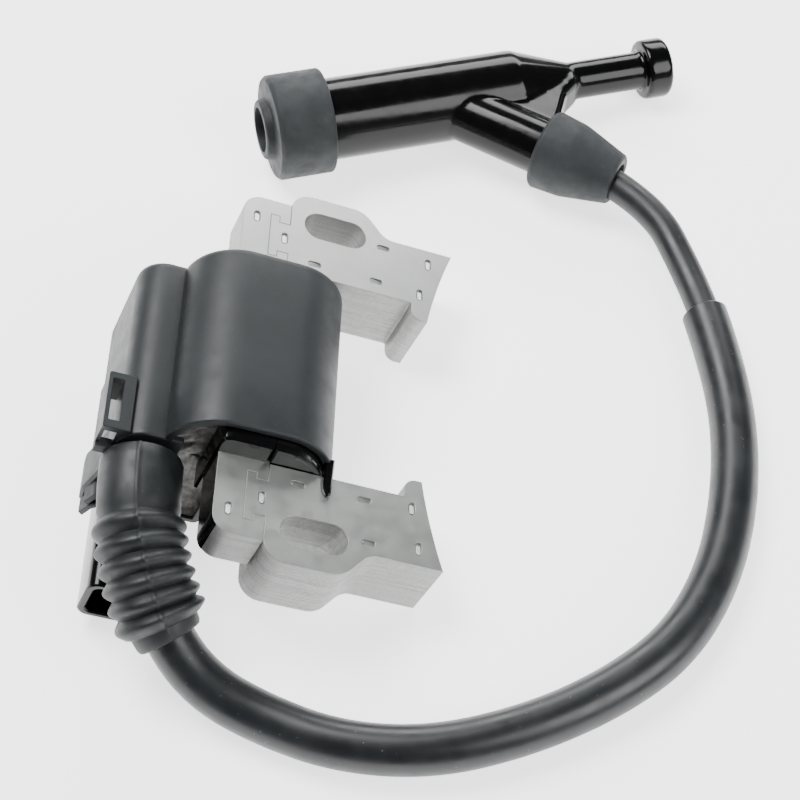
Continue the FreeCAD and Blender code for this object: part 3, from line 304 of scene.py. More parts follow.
def glossy_plastic():
    """Smooth glossy black plastic with slight waves from the mould."""
    surface = Surface("glossy_plastic", (0.002, 0.002, 0.0022), 0.15, specular=0.28)
    surface.roughen(surface.noise(300.0, detail=4.0), 0.10, 0.20)
    surface.bump(surface.noise(170.0, detail=2.0), 0.10, 0.10)
    surface.bump(surface.noise(1500.0, detail=2.0), 0.06, 0.02)
    return surface.material


def dull_rubber():
    """Moulded rubber: dark grey, dull, with a soft bloom."""
    surface = Surface("dull_rubber", (0.016, 0.019, 0.021), 0.6, specular=0.4)
    surface.tint(surface.noise(130.0, detail=6.0), 0.75, 1.35)
    surface.roughen(surface.noise(380.0, detail=4.0), 0.52, 0.72)
    surface.bump(surface.noise(1800.0, detail=4.0), 0.25, 0.03)
    surface.specks(1500.0, 0.36, (0.06, 0.06, 0.06))
    return surface.material


def boot_rubber():
    """The boot's softer rubber, a little shinier on its folds."""
    surface = Surface("boot_rubber", (0.009, 0.011, 0.012), 0.46, specular=0.4)
    surface.tint(surface.noise(150.0, detail=6.0), 0.8, 1.35)
    surface.roughen(surface.noise(300.0, detail=4.0), 0.40, 0.60)
    surface.bump(surface.noise(1600.0, detail=4.0), 0.2, 0.03)
    surface.specks(1300.0, 0.34, (0.07, 0.07, 0.07))
    return surface.material


def lead_sheath(name, roughness):
    """The satin black sheath of the lead, with fine dust on it."""
    surface = Surface(name, (0.009, 0.0105, 0.012), roughness)
    surface.tint(surface.noise(90.0, detail=5.0), 0.8, 1.3)
    surface.roughen(surface.noise(210.0, detail=4.0), roughness - 0.07, roughness + 0.08)
    surface.bump(surface.noise(700.0, detail=4.0), 0.15, 0.04)
    surface.specks(900.0, 0.36, (0.14, 0.14, 0.14))
    return surface.material


def cast_resin():
    """Cured resin: brown grey, lumpy, part glossy and part dull."""
    surface = Surface("cast_resin", (0.085, 0.080, 0.072), 0.35)
    surface.tint(surface.noise(420.0, detail=6.0), 0.2, 2.6)
    surface.roughen(surface.noise(520.0, detail=4.0), 0.25, 0.7)
    surface.bump(surface.noise(600.0, detail=5.0), 0.6, 0.25)
    return surface.material


def plain_metal(name, color, roughness):
    """Drawn or turned metal with faint lines along it."""
    surface = Surface(name, color, roughness, metallic=1.0)
    surface.tint(surface.noise(500.0, detail=4.0), 0.85, 1.1)
    surface.roughen(surface.noise(700.0, detail=3.0), roughness * 0.8, roughness * 1.25)
    surface.bump(surface.noise(1500.0, detail=2.0, stretch=(0.1, 1.0, 1.0)), 0.1, 0.02)
    return surface.material


def plain_plastic(name, color, roughness):
    """Small moulded or coated parts with a fine grain."""
    surface = Surface(name, color, roughness)
    surface.tint(surface.noise(300.0, detail=4.0), 0.85, 1.15)
    surface.roughen(surface.noise(600.0, detail=3.0), roughness * 0.8, min(roughness * 1.2, 1.0))
    surface.bump(surface.noise(2500.0, detail=2.0), 0.15, 0.02)
    return surface.material


def winding_wire():
    """Enamelled copper wire, its turns seen as fine ridges along the coil."""
    surface = Surface("winding_wire", (0.60, 0.27, 0.12), 0.3, metallic=0.9)
    surface.tint(surface.noise(500.0, detail=4.0), 0.8, 1.15)
    surface.bump(surface.noise(2200.0, detail=0.0, stretch=(0.05, 2.5, 0.05)), 0.6, 0.08)
    return surface.material


MATERIALS = {
    "steel_sheet": steel_sheet(),
    "steel_edge": steel_edge(),
    "case_plastic": case_plastic(),
    "glossy_plastic": glossy_plastic(),
    "dull_rubber": dull_rubber(),
    "boot_rubber": boot_rubber(),
    "lead": lead_sheath("lead", 0.42),
    "sleeve": lead_sheath("sleeve", 0.36),
    "cast_resin": cast_resin(),
    "winding_wire": winding_wire(),
    "board": plain_plastic("board", (0.03, 0.14, 0.07), 0.4),
    "device": plain_plastic("device", (0.02, 0.02, 0.02), 0.5),
    "ceramic": plain_plastic("ceramic", (0.80, 0.78, 0.72), 0.25),
    "can": plain_metal("can", (0.62, 0.63, 0.65), 0.3),
    "tinned": plain_metal("tinned", (0.66, 0.66, 0.64), 0.3),
    "brass": plain_metal("brass", (0.74, 0.52, 0.22), 0.28),
    "wire_steel": plain_metal("wire_steel", (0.55, 0.55, 0.56), 0.25),
}


# --- shape helpers ---


def arc(centre, radius, start, end, steps):
    """Points on a circle between two angles in degrees, both ends included."""
    return [
        (
            centre[0] + radius * math.cos(math.radians(start + (end - start) * index / steps)),
            centre[1] + radius * math.sin(math.radians(start + (end - start) * index / steps)),
        )
        for index in range(steps + 1)
    ]


def filleted(corners, closed=True, steps=ROUND_STEPS):
    """A polyline of (u, v) or (u, v, radius) corners with its corners rounded."""
    points = []
    count = len(corners)
    for index, corner in enumerate(corners):
        at = Vector(corner[:2])
        radius = corner[2] if len(corner) > 2 else 0.0
        inner = closed or 0 < index < count - 1
        if not radius or not inner:
            points.append(tuple(at))
            continue
        back = (Vector(corners[index - 1][:2]) - at).normalized()
        ahead = (Vector(corners[(index + 1) % count][:2]) - at).normalized()
        half = back.angle(ahead) / 2
        reach = radius / math.tan(half)
        middle = at + (back + ahead).normalized() * (radius / math.sin(half))
        first, last = at + back * reach - middle, at + ahead * reach - middle
        sweep = first.angle_signed(last)
        for step in range(steps + 1):
            turn = Matrix.Rotation(-sweep * step / steps, 2)
            points.append(tuple(middle + turn @ first))
    return points


def turns_left(outline):
    """Whether a closed outline runs anticlockwise."""
    after = outline[1:] + outline[:1]
    return sum(a[0] * b[1] - b[0] * a[1] for a, b in zip(outline, after)) > 0


def inset(outline, amount):
    """Move a closed outline's points inwards along their own normals."""
    count = len(outline)
    side = 1.0 if turns_left(outline) else -1.0
    moved = []
    for index, point in enumerate(outline):
        at = Vector(point)
        before = (at - Vector(outline[index - 1])).normalized()
        after = (Vector(outline[(index + 1) % count]) - at).normalized()
        way = before + after
        if way.length < 1e-6:
            moved.append(point)
            continue
        way.normalize()
        normal = Vector((-way.y, way.x)) * side
        stretch = min(1.0 / max(way.dot(after), 0.3), 2.0)
        moved.append(tuple(at + normal * amount * stretch))
    return moved


def add_object(name, vertices, faces, material, matrix, sharp=35.0):
    """An object in the row frame from vertices in millimetres, smooth but for its sharp edges."""
    mesh = bpy.data.meshes.new(name)
    mesh.from_pydata([matrix @ (Vector(vertex) * MM) for vertex in vertices], [], faces)
    mesh.validate()
    mesh.polygons.foreach_set("use_smooth", [True] * len(mesh.polygons))
    mesh.set_sharp_from_angle(angle=math.radians(sharp))
    mesh.materials.append(MATERIALS[material])
    piece = bpy.data.objects.new(name, mesh)
    bpy.context.scene.collection.objects.link(piece)
    return piece


def settle(piece, body, slot, *nodes):
    """Ride on a body, and stand for CAD nodes; the slot argument is not used."""
    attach(piece, body)
    if nodes:
        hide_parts(*nodes)


class Builder:
    """Collects vertices and faces of one mesh."""

    def __init__(self):
        self.vertices = []
        self.faces = []
        self.kinds = []

    def ring(self, points):
        """Add a closed ring of points and return its indices."""
        start = len(self.vertices)
        self.vertices.extend(points)
        return list(range(start, start + len(points)))

    def bridge(self, first, second, kind=0):
        """Join two rings of equal count with quads."""
        count = len(first)
        for index in range(count):
            after = (index + 1) % count
            self.add((first[index], first[after], second[after], second[index]), kind)

    def fan(self, ring, point):
        """Close a ring with triangles to one point."""
        centre = len(self.vertices)
        self.vertices.append(point)
        for index in range(len(ring)):
            self.add((ring[index], ring[(index + 1) % len(ring)], centre))

    def lid(self, rings, reverse=False):
        """Close an outline and the holes in it with triangles."""
        loops = [[Vector(self.vertices[index]) for index in ring] for ring in rings]
        flat = [index for ring in rings for index in ring]
        for triangle in tessellate_polygon(loops):
            face = tuple(flat[index] for index in triangle)
            normal = self.normal_of(face)
            if (normal < 0) != reverse:
                face = face[::-1]
            self.add(face)

    def normal_of(self, face):
        """A face's normal along the third axis, whose sign says which way the face looks."""
        a, b, c = (Vector(self.vertices[index]) for index in face)
        return (b - a).cross(c - a).z

    def add(self, face, kind=0):
        """Add one face, its kind 1 where it takes the second material."""
        self.faces.append(face)
        self.kinds.append(kind)

    def box(self, low, high):
        """Add a plain block between two corners."""
        x0, y0, z0 = low
        x1, y1, z1 = high
        lower = self.ring([(x0, y0, z0), (x1, y0, z0), (x1, y1, z0), (x0, y1, z0)])
        upper = self.ring([(x0, y0, z1), (x1, y0, z1), (x1, y1, z1), (x0, y1, z1)])
        self.bridge(lower, upper)
        self.add(tuple(reversed(lower)))
        self.add(tuple(upper))

    def plate(self, outer, holes, low, high, edge, kind_side=0):
        """A plate between two heights, with holes and with its edges slightly broken."""
        outlines = [outer, *holes]
        bottoms, tops = [], []
        for index, outline in enumerate(outlines):
            amount = edge if index == 0 else -edge
            inner = inset(outline, amount)
            rings = [
                self.ring([(u, v, low) for u, v in inner]),
                self.ring([(u, v, low + edge) for u, v in outline]),
                self.ring([(u, v, high - edge) for u, v in outline]),
                self.ring([(u, v, high) for u, v in inner]),
            ]
            for first, second in zip(rings, rings[1:]):
                if turns_left(outline) == (index == 0):
                    self.bridge(first, second, kind_side)
                else:
                    self.bridge(first[::-1], second[::-1], kind_side)
            bottoms.append(rings[0])
            tops.append(rings[-1])
        self.lid(tops)
        self.lid(bottoms, reverse=True)

    def object(self, name, material, matrix, sharp=35.0, side=None):
        """Make the object, with a second material on the faces of kind 1."""
        piece = add_object(name, self.vertices, self.faces, material, matrix, sharp)
        if side:
            piece.data.materials.append(MATERIALS[side])
            piece.data.polygons.foreach_set("material_index", self.kinds)
        return piece


def turned_shell(mesh, profile, matrix, segments=96, closed=False):
    """Add a surface of revolution about X to a mesh, from (station, radius) points.

    A radius of zero is a point on X. A closed profile joins its last point to its first.
    """
    rings = []
    for station, radius in profile:
        count = segments if radius > 0.0 else 1
        angles = [2 * math.pi * index / count for index in range(count)]
        circle = [Vector((station, radius * math.cos(angle), radius * math.sin(angle))) for angle in angles]
        rings.append(mesh.ring([matrix @ point for point in circle]))
    for first, second in zip(rings, rings[1:] + (rings[:1] if closed else [])):
        if len(first) == 1 and len(second) == 1:
            continue
        if len(first) == 1:
            for index in range(segments):
                mesh.add((first[0], second[index], second[(index + 1) % segments]))
        elif len(second) == 1:
            for index in range(segments):
                mesh.add((first[(index + 1) % segments], first[index], second[0]))
        else:
            mesh.bridge(second, first)


def lathe(name, profile, material, matrix, segments=96, sharp=35.0, closed=False):
    """An object turned about X from (station, radius) points."""
    mesh = Builder()
    turned_shell(mesh, profile, Matrix.Identity(4), segments, closed)
    return mesh.object(name, material, matrix, sharp)


# --- lead ---

LEAD_DIAMETER = 7.0
SLEEVE_DIAMETER = 10.0
SLEEVE_BORE = 7.7
# The lead's route from the tower to the cap's branch, in metres in the row frame.
LEAD_ROUTE = [
    (-0.02205, -0.0215, 0.02407),
    (-0.02205, -0.0340, 0.02407),
    (-0.0192, -0.0456, 0.0200),
    (-0.0148, -0.0550, 0.0130),
    (-0.0076, -0.0620, 0.0072),
    (0.0033, -0.0673, 0.00505),
    (0.0188, -0.0728, 0.00505),
    (0.0368, -0.0732, 0.00505),
    (0.0548, -0.0678, 0.00505),
    (0.0708, -0.0595, 0.00505),
    (0.0843, -0.0485, 0.00505),
    (0.0933, -0.0325, 0.00505),
    (0.0978, -0.0140, 0.00505),
    (0.0990, 0.0050, 0.00505),
    (0.0968, 0.0230, 0.00505),
    (0.0924, 0.0425, 0.0051),
]
LEAD_BEND = 54.0
LEAD_SEAT = 29.7


def lead_points():
    """The route's points, with the last two on the branch's axis."""
    on_branch = [tuple(BRANCH @ Vector((distance * MM, 0, 0))) for distance in (LEAD_BEND, LEAD_SEAT)]
    return LEAD_ROUTE + on_branch


def add_lead():
    """The high tension lead as one NURBS cord."""
    curve = bpy.data.curves.new("high_tension_lead", "CURVE")
    curve.dimensions = "3D"
    curve.resolution_u = 16
    curve.bevel_depth = LEAD_DIAMETER / 2 * MM
    curve.bevel_resolution = 10
    curve.use_fill_caps = True
    points = lead_points()
    spline = curve.splines.new("NURBS")
    spline.points.add(len(points) - 1)
    for point, place in zip(spline.points, points):
        point.co = (*place, 1.0)
    spline.order_u = 3
    spline.use_endpoint_u = True
    spline.use_smooth = True
    curve.materials.append(MATERIALS["lead"])
    piece = bpy.data.objects.new("high_tension_lead", curve)
    bpy.context.scene.collection.objects.link(piece)
    return piece


class Path:
    """The lead's own line, read from its spline, with the distance along it in millimetres."""

    def __init__(self, cord):
        plain = cord.data.copy()
        plain.bevel_depth = 0.0
        holder = bpy.data.objects.new("plain_line", plain)
        mesh = bpy.data.meshes.new_from_object(holder)
        self.points = [vertex.co / MM for vertex in mesh.vertices]
        self.marks = [0.0]
        for before, after in zip(self.points, self.points[1:]):
            self.marks.append(self.marks[-1] + (after - before).length)
        bpy.data.meshes.remove(mesh)
        bpy.data.objects.remove(holder)
        bpy.data.curves.remove(plain)
        self.frames = self.carry_frames()

    def carry_frames(self):
        """A side vector for each point, carried along without twist."""
        sides = []
        side = Vector((0, 0, 1))
        for index in range(len(self.points)):
            way = self.way(index)
            side = (side - way * side.dot(way)).normalized()
            sides.append(side.copy())
        return sides

    def way(self, index):
        """The line's direction at a point."""
        before = self.points[max(index - 1, 0)]
        after = self.points[min(index + 1, len(self.points) - 1)]
        return (after - before).normalized()

    def at(self, distance):
        """Place, direction and side at a distance; beyond an end it goes on straight."""
        index = 0
        while index < len(self.marks) - 2 and self.marks[index + 1] < distance:
            index += 1
        span = self.marks[index + 1] - self.marks[index]
        share = (distance - self.marks[index]) / span
        place = self.points[index].lerp(self.points[index + 1], share)
        share = min(max(share, 0.0), 1.0)
        way = self.way(index).lerp(self.way(index + 1), share).normalized()
        side = self.frames[index].lerp(self.frames[index + 1], share)
        side = (side - way * side.dot(way)).normalized()
        return place, way, side


def tube_along(name, path, profile, material, segments=80, squeeze=None):
    """A closed tube along a path from a closed loop of (distance, radius) points."""
    mesh = Builder()
    rings = []
    for distance, radius in profile:
        place, way, side = path.at(distance)
        other = way.cross(side)
        points = []
        for index in range(segments):
            angle = 2 * math.pi * index / segments
            reach = radius * (squeeze(distance, angle) if squeeze else 1.0)
            points.append(place + (side * math.cos(angle) + other * math.sin(angle)) * reach)
        rings.append(mesh.ring(points))
    for first, second in zip(rings, rings[1:] + rings[:1]):
        mesh.bridge(second, first)
    return mesh.object(name, material, Matrix.Identity(4))


BOOT_START = 1.2
BOOT_END = 38.0
COLLAR_RADIUS = 8.25
RIB_RADIUS = 9.2
GROOVE_RADIUS = 7.8
SEAM_ANGLE = -0.05
SEAM_WIDTH = 0.05
SEAM_HEIGHT = 0.032
FIRST_RIB = 16.2
RIB_PITCH = 3.4
RIB_COUNT = 6
SLEEVE_START = 37.0
SLEEVE_END = 235.0


def boot_profile():
    """The boot's outside, from its collar over its folds to its lip, and back through its bore."""
    loop = [(BOOT_START, 6.4), (BOOT_START, COLLAR_RADIUS - 0.9), (BOOT_START + 0.3, COLLAR_RADIUS - 0.3)]
    loop += [(BOOT_START + 1.0, COLLAR_RADIUS), (4.0, COLLAR_RADIUS), (7.0, COLLAR_RADIUS)]
    loop += [(10.0, COLLAR_RADIUS - 0.05), (12.6, COLLAR_RADIUS - 0.1), (13.4, COLLAR_RADIUS - 0.4)]
    steps = 14
    start, end = FIRST_RIB - RIB_PITCH / 2, FIRST_RIB + (RIB_COUNT - 0.5) * RIB_PITCH
    count = steps * RIB_COUNT
    for index in range(count + 1):
        distance = start + (end - start) * index / count
        wave = 0.5 - 0.5 * math.cos(2 * math.pi * (distance - start) / RIB_PITCH)
        loop.append((distance, GROOVE_RADIUS + (RIB_RADIUS - GROOVE_RADIUS) * wave**0.6))
    loop += [(end + 0.4, 6.9), (BOOT_END - 0.9, 6.7), (BOOT_END - 0.2, 6.4), (BOOT_END, 5.9), (BOOT_END, 5.1)]
    inner = [(BOOT_END - 3.0, 4.6), (BOOT_END - 10.0, 4.2), (9.0, 4.2), (7.0, 5.6), (3.0, 5.6)]
    return loop + inner


def seam(distance, angle):
    """A raised mould seam along the boot."""
    return 1.0 + SEAM_HEIGHT * math.exp(-((angle_between(angle, SEAM_ANGLE) / SEAM_WIDTH) ** 2))


def angle_between(first, second):
    """The difference of two angles in radians, at most half a turn."""
    return abs((first - second + math.pi) % (2 * math.pi) - math.pi)


def add_boot(path):
    """The ribbed boot over the tower and the lead."""
    return tube_along("lead_boot_bellows", path, boot_profile(), "boot_rubber", 200, seam)


def add_sleeve(path):
    """The loose sleeve over the lead, a little wavy, with a clean cut end."""
    outer, inner = SLEEVE_DIAMETER / 2, SLEEVE_BORE / 2
    steps = 90
    loop = []
    for index in range(steps + 1):
        distance = SLEEVE_START + (SLEEVE_END - 0.3 - SLEEVE_START) * index / steps
        loop.append((distance, outer - 0.04 + 0.04 * math.sin(distance / 7.0)))
    loop += [(SLEEVE_END, outer - 0.25), (SLEEVE_END, inner + 0.2), (SLEEVE_END - 0.3, inner)]
    for index in range(steps, -1, -1):
        loop.append((SLEEVE_START + (SLEEVE_END - 2.0 - SLEEVE_START) * index / steps, inner))
    return tube_along("loose_sleeve", path, loop, "sleeve", 64)


# --- laminated core ---

SHEET = 0.5
SHEET_GAP = 0.02
LEG_SHEETS = 32
BAR_SHEETS = 20
FLYWHEEL_CENTRE = 161.8
POLE_RADIUS = 118.4
JOINT_GAP = 0.05
STAKE_LENGTH = 2.9
STAKE_WIDTH = 1.35
STAKE_MARGIN = 0.35
STAKE_DEPTH = 0.55
STAKE_TILT = 0.45
LEG_LEFT = 13.4
LEG_INNER = 24.3
POLE_LEFT = 41.4
POLE_INNER = 20.05
POLE_OUTER = 39.5
LUG_OUTER = 45.5
SLOT_CENTRE = (23.45, 38.0)
SLOT_LENGTH = 13.9
SLOT_WIDTH = 6.87
NECK_END = 11.0
NECK_LOW = 28.35
NECK_HIGH = 36.2
HEAD_END = 9.0
HEAD_LOW = 26.9
HEAD_HIGH = 37.85
BAR_OUTER = 41.65
BAR_CORNER = 3.9
# Thickness and start of the dark skin that paints the boot's reflection onto the crossbar's side.
REFLECTION_SKIN = 0.12
REFLECTION_SKIN_START = -22.0
# Stakes as X, distance from the middle, and whether they lie along X.
LEG_STAKES = [(34.47, 36.86, True), (33.21, 27.39, True), (44.84, 35.66, False), (43.15, 26.83, False)]
LEG_STAKES += [(19.4, 27.5, True)]
BAR_STAKES = [(6.0, 36.24, False)]
TONGUE_STAKES = [(12.39, 32.23, False)]


def stadium(centre, length, width, along_x):
    """A flat-sided oval outline."""
    reach = (length - width) / 2
    u, v = centre
    if along_x:
        return arc((u + reach, v), width / 2, -90, 90, 10) + arc((u - reach, v), width / 2, 90, 270, 10)
    return arc((u, v + reach), width / 2, 0, 180, 10) + arc((u, v - reach), width / 2, 180, 360, 10)


def pole_face():
    """The arc of a pole face between its two edges."""
    start = math.degrees(math.asin(POLE_INNER / POLE_RADIUS))
    end = math.degrees(math.asin(POLE_OUTER / POLE_RADIUS))
    return arc((FLYWHEEL_CENTRE, 0), POLE_RADIUS, 180 - start, 180 - end, 12)


def leg_outline(tongue):
    """The outline of one leg's sheet, with or without its tongue."""
    inner = [(LEG_LEFT, LEG_INNER), (POLE_LEFT, LEG_INNER, 0.4), (POLE_LEFT, POLE_INNER, 2.4)]
    shape = filleted(inner + [(46.0, POLE_INNER)], closed=False)[:-1] + pole_face()
    lug = [(48.0, POLE_OUTER), (34.87, POLE_OUTER, 4.2), (29.65, LUG_OUTER, 5.2), (LEG_LEFT, LUG_OUTER, 4.5)]
    shape += filleted(lug + [(LEG_LEFT, SLOT_CENTRE[1])], closed=False)[1:-1]
    if tongue:
        neck, head = NECK_END - JOINT_GAP, HEAD_END + JOINT_GAP
        neck_low, neck_high = NECK_LOW + JOINT_GAP, NECK_HIGH - JOINT_GAP
        head_low, head_high = HEAD_LOW + JOINT_GAP, HEAD_HIGH - JOINT_GAP
        shape += [(LEG_LEFT, neck_high), (neck, neck_high), (neck, head_high), (head, head_high)]
        shape += [(head, head_low), (neck, head_low), (neck, neck_low), (LEG_LEFT, neck_low)]
    return shape


def bar_outline():
    """The outline of the crossbar's sheet with its two sockets."""
    right = LEG_LEFT - JOINT_GAP
    half = [(right, NECK_LOW), (NECK_END, NECK_LOW), (NECK_END, HEAD_LOW), (HEAD_END, HEAD_LOW)]
    half += [(HEAD_END, HEAD_HIGH), (NECK_END, HEAD_HIGH), (NECK_END, NECK_HIGH), (right, NECK_HIGH)]
    half += [(right, BAR_OUTER), (BAR_LEFT, BAR_OUTER, BAR_CORNER)]
    other = [(corner[0], -corner[1], *corner[2:]) for corner in reversed(half)]
    return filleted(half + other)


def mirrored(outline, sign):
    """The same outline for the upper side, 1, or the lower side, -1."""
    return [(u, v * sign) for u, v in outline]


def stack(name, outlines, holes, stakes, sheets, front_sheets, sign, seed):
    """A staked stack of sheets, each a hair off its neighbours, with its front and back outlines."""
    random.seed(seed)
    mesh = Builder()
    marks = [stadium((x, y), STAKE_LENGTH, STAKE_WIDTH, flat) for x, y, flat in stakes]
    for index in range(sheets):
        outline = outlines[0] if index < front_sheets else outlines[1]
        high = -index * SHEET
        low = high - SHEET + SHEET_GAP
        du, dv = random.uniform(-0.01, 0.01), random.uniform(-0.01, 0.01)
        if index == 0:
            du, dv = 0.0, 0.0
        open_marks = marks if index == 0 else []
        moved = [[(u + du, v + dv) for u, v in line] for line in (outline, *holes, *open_marks)]
        moved = [mirrored(line, sign) for line in moved]
        edge = 0.09 if index == 0 else 0.02
        mesh.plate(moved[0], moved[1:], low, high, edge, kind_side=1)
    for x, y, flat in stakes:
        add_stake(mesh, x, y * sign, flat)
    return mesh.object(name, "steel_sheet", UNIT, side="steel_edge")


def add_stake(mesh, x, y, flat):
    """The lanced tab of a stake, pressed down at one end."""
    outline = stadium((x, y), STAKE_LENGTH - STAKE_MARGIN, STAKE_WIDTH - STAKE_MARGIN, flat)
    start = len(mesh.vertices)
    mesh.plate(outline, [], -STAKE_DEPTH, -0.02, 0.05)
    for index in range(start, len(mesh.vertices)):
        u, v, w = mesh.vertices[index]
        along = (u - x) if flat else (v - y)
        mesh.vertices[index] = (u, v, w - STAKE_TILT * (0.5 + along / STAKE_LENGTH))


def add_core():
    """The two legs and the crossbar."""
    outlines = leg_outline(True), leg_outline(False)
    stakes = LEG_STAKES + TONGUE_STAKES
    slot_hole = stadium(SLOT_CENTRE, SLOT_LENGTH, SLOT_WIDTH, True)
    for name, sign, seed in (("upper_leg", 1, 3), ("lower_leg", -1, 4)):
        piece = stack(f"{name}_sheets", outlines, [slot_hole], stakes, LEG_SHEETS, BAR_SHEETS, sign, seed)
        settle(piece, "coil", "laminations", name)
    both_ends = BAR_STAKES + [(x, -y, flat) for x, y, flat in BAR_STAKES]
    bar = stack("core_bar_sheets", [bar_outline()], [], both_ends, BAR_SHEETS, BAR_SHEETS, 1, 5)
    settle(bar, "coil", "laminations", "core_bar")


def add_bar_painted_reflection():
    """A dark glossy skin on the crossbar's lower end: a painted reflection of the black boot beside it."""
    corner = (BAR_LEFT + BAR_CORNER, BAR_CORNER - BAR_OUTER)
    edge = [(BAR_LEFT, REFLECTION_SKIN_START), (BAR_LEFT, corner[1])] + arc(corner, BAR_CORNER, 180, 222, 10)
    skin = [(BAR_LEFT - REFLECTION_SKIN, REFLECTION_SKIN_START), (BAR_LEFT - REFLECTION_SKIN, corner[1])]
    skin += arc(corner, BAR_CORNER + REFLECTION_SKIN, 180, 220, 10)
    mesh = Builder()
    # A dark sheet over the steel's side face, standing in for the boot's reflection: painted reflection.
    mesh.plate(skin + edge[::-1], [], -BAR_DEPTH, -0.1, 0.02)
    settle(mesh.object("bar_painted_reflection", "glossy_plastic", UNIT), "coil", "resin")


# --- moulded case ---

BOX_LEFT = -15.6
BOX_RIGHT = 8.0
BOX_FRONT = -3.75
BOX_BACK = -32.0
OVAL_LEFT = 5.0
OVAL_RIGHT = 15.0
OVAL_HEIGHT = -5.0
OVAL_RADIUS = 12.0
CASE_HALF = 21.7
CASE_WALL = 1.65
RESIN_BACK = 15.5
RESIN_FACE = 18.6
RESIN_CLIMB = 2.2
RESIN_CENTRE = (-1.5, -11.0)
END_PLATE = 24.15
END_PLATE_BACK = 17.0
END_PLATE_RADIUS = 10.2
END_LIP_RADIUS = 9.5
END_LIP_THICKNESS = 0.75
GUARD_RIB_PITCH = 4.2


def case_outline(margin):
    """The case's outline across Y, drawn in by a margin: the oval of the coil and the box beside it."""
    left, right = BOX_LEFT + margin, BOX_RIGHT - margin
    front, back = BOX_FRONT - margin, BOX_BACK + margin
    radius = OVAL_RADIUS - margin
    corner = 6.0 - margin
    foot = max(1.5 - margin, 0.25)
    points = arc((left + corner, front - corner), corner, 180, 90, 12)
    crease_x = OVAL_LEFT - math.sqrt(radius**2 - (front - OVAL_HEIGHT) ** 2)
    points += [(left + corner + (crease_x - left - corner) * share, front) for share in (0.35, 0.7, 0.95)]
    first = math.degrees(math.atan2(front - OVAL_HEIGHT, crease_x - OVAL_LEFT)) % 360
    points += arc((OVAL_LEFT, OVAL_HEIGHT), radius, first, 90, 28)
    points += arc((OVAL_RIGHT, OVAL_HEIGHT), radius, 90, -90, 44)
    points += [(right, OVAL_HEIGHT - radius)]
    points += arc((right - foot, back + foot), foot, 0, -90, 5)
    points += arc((left + foot, back + foot), foot, -90, -180, 5)
    return points


def loft(name, outline, rings, material):
    """Rings of one outline at (margin, y) places, from the far end to the near end, closed at both."""
    mesh = Builder()
    made = [mesh.ring([(u, v, -y) for u, v in outline(margin)]) for margin, y in rings]
    for first, second in zip(made, made[1:]):
        mesh.bridge(second, first)
    mesh.lid([made[0]], reverse=True)
    mesh.lid([made[-1]])
    return mesh.object(name, material, ACROSS)


def quarter(margin, y, radius, outwards, steps=6):
    """Rings of a rounded edge: from the end face to the side, or from the side to the end face."""
    rings = []
    for index in range(steps + 1):
        angle = math.pi / 2 * index / steps
        rings.append((margin + radius * (1 - math.sin(angle)), y - outwards * radius * (1 - math.cos(angle))))
    return rings if outwards > 0 else rings[::-1]


def add_case_shell():
    """The case: a rounded far end, smooth sides, and a rim round the open near end."""
    rings = quarter(0.0, CASE_HALF, 2.0, 1.0)
    rings += [(0.0, share * CASE_HALF) for share in (0.5, 0.0, -0.5)]
    rings += quarter(0.0, -CASE_HALF, 0.5, -1.0, 4)
    rings += [(CASE_WALL - 0.2, -CASE_HALF), (CASE_WALL - 0.05, 0.2 - CASE_HALF), (CASE_WALL, -15.0)]
    shell = loft("case_shell", case_outline, rings, "case_plastic")
    settle(shell, "coil", "case_plastic", "coil_case")


def resin_height(u, v):
    """Where the cured resin stands at a place, with its long and short waves."""
    long_wave = 0.35 * math.sin(u * 0.9 + 0.7) * math.cos(v * 0.75)
    return RESIN_FACE + (long_wave + 0.18 * math.sin(u * 2.1 - v * 1.7))


def add_resin():
    """The cured resin in the mouth of the case, climbing to the walls."""
    outline = case_outline(CASE_WALL + 0.01)
    centre = Vector(RESIN_CENTRE)
    mesh = Builder()
    back = mesh.ring([(u, v, RESIN_BACK) for u, v in outline])
    rings = [back]
    steps = 24
    for index in range(steps):
        share = 1.0 - index / steps
        points = []
        for point in outline:
            at = centre.lerp(Vector(point), share)
            climb = RESIN_CLIMB * math.exp(-index / 2.2)
            points.append((at.x, at.y, resin_height(at.x, at.y) + climb))
        rings.append(mesh.ring(points))
    for first, second in zip(rings, rings[1:]):
        mesh.bridge(second, first)
    mesh.fan(rings[-1], (centre.x, centre.y, resin_height(centre.x, centre.y)))
    mesh.lid([back], reverse=True)
    piece = mesh.object("cured_resin", "cast_resin", ACROSS, 60.0)
    settle(piece, "coil", "resin", "potting_resin")


def add_end_plate():
    """The bobbin's glossy end plate over the right part of the mouth, in two halves."""
    left = [(12.9, -15.1), (12.9, 5.2), (4.6, 5.2), (2.8, 4.6, 0.8), (2.4, 3.0), (2.4, -15.1)]
    round_side = arc((OVAL_RIGHT, OVAL_HEIGHT), END_PLATE_RADIUS, -90, 90, 24)
    mesh = Builder()
    for half in (filleted(left), [(13.05, -15.2), *round_side, (13.05, 5.2)]):
        mesh.plate(half, [], END_PLATE_BACK, END_PLATE, 0.5)
    piece = mesh.object("bobbin_end_plate", "glossy_plastic", ACROSS)
    settle(piece, "coil", "bobbin_plastic", "primary_bobbin")


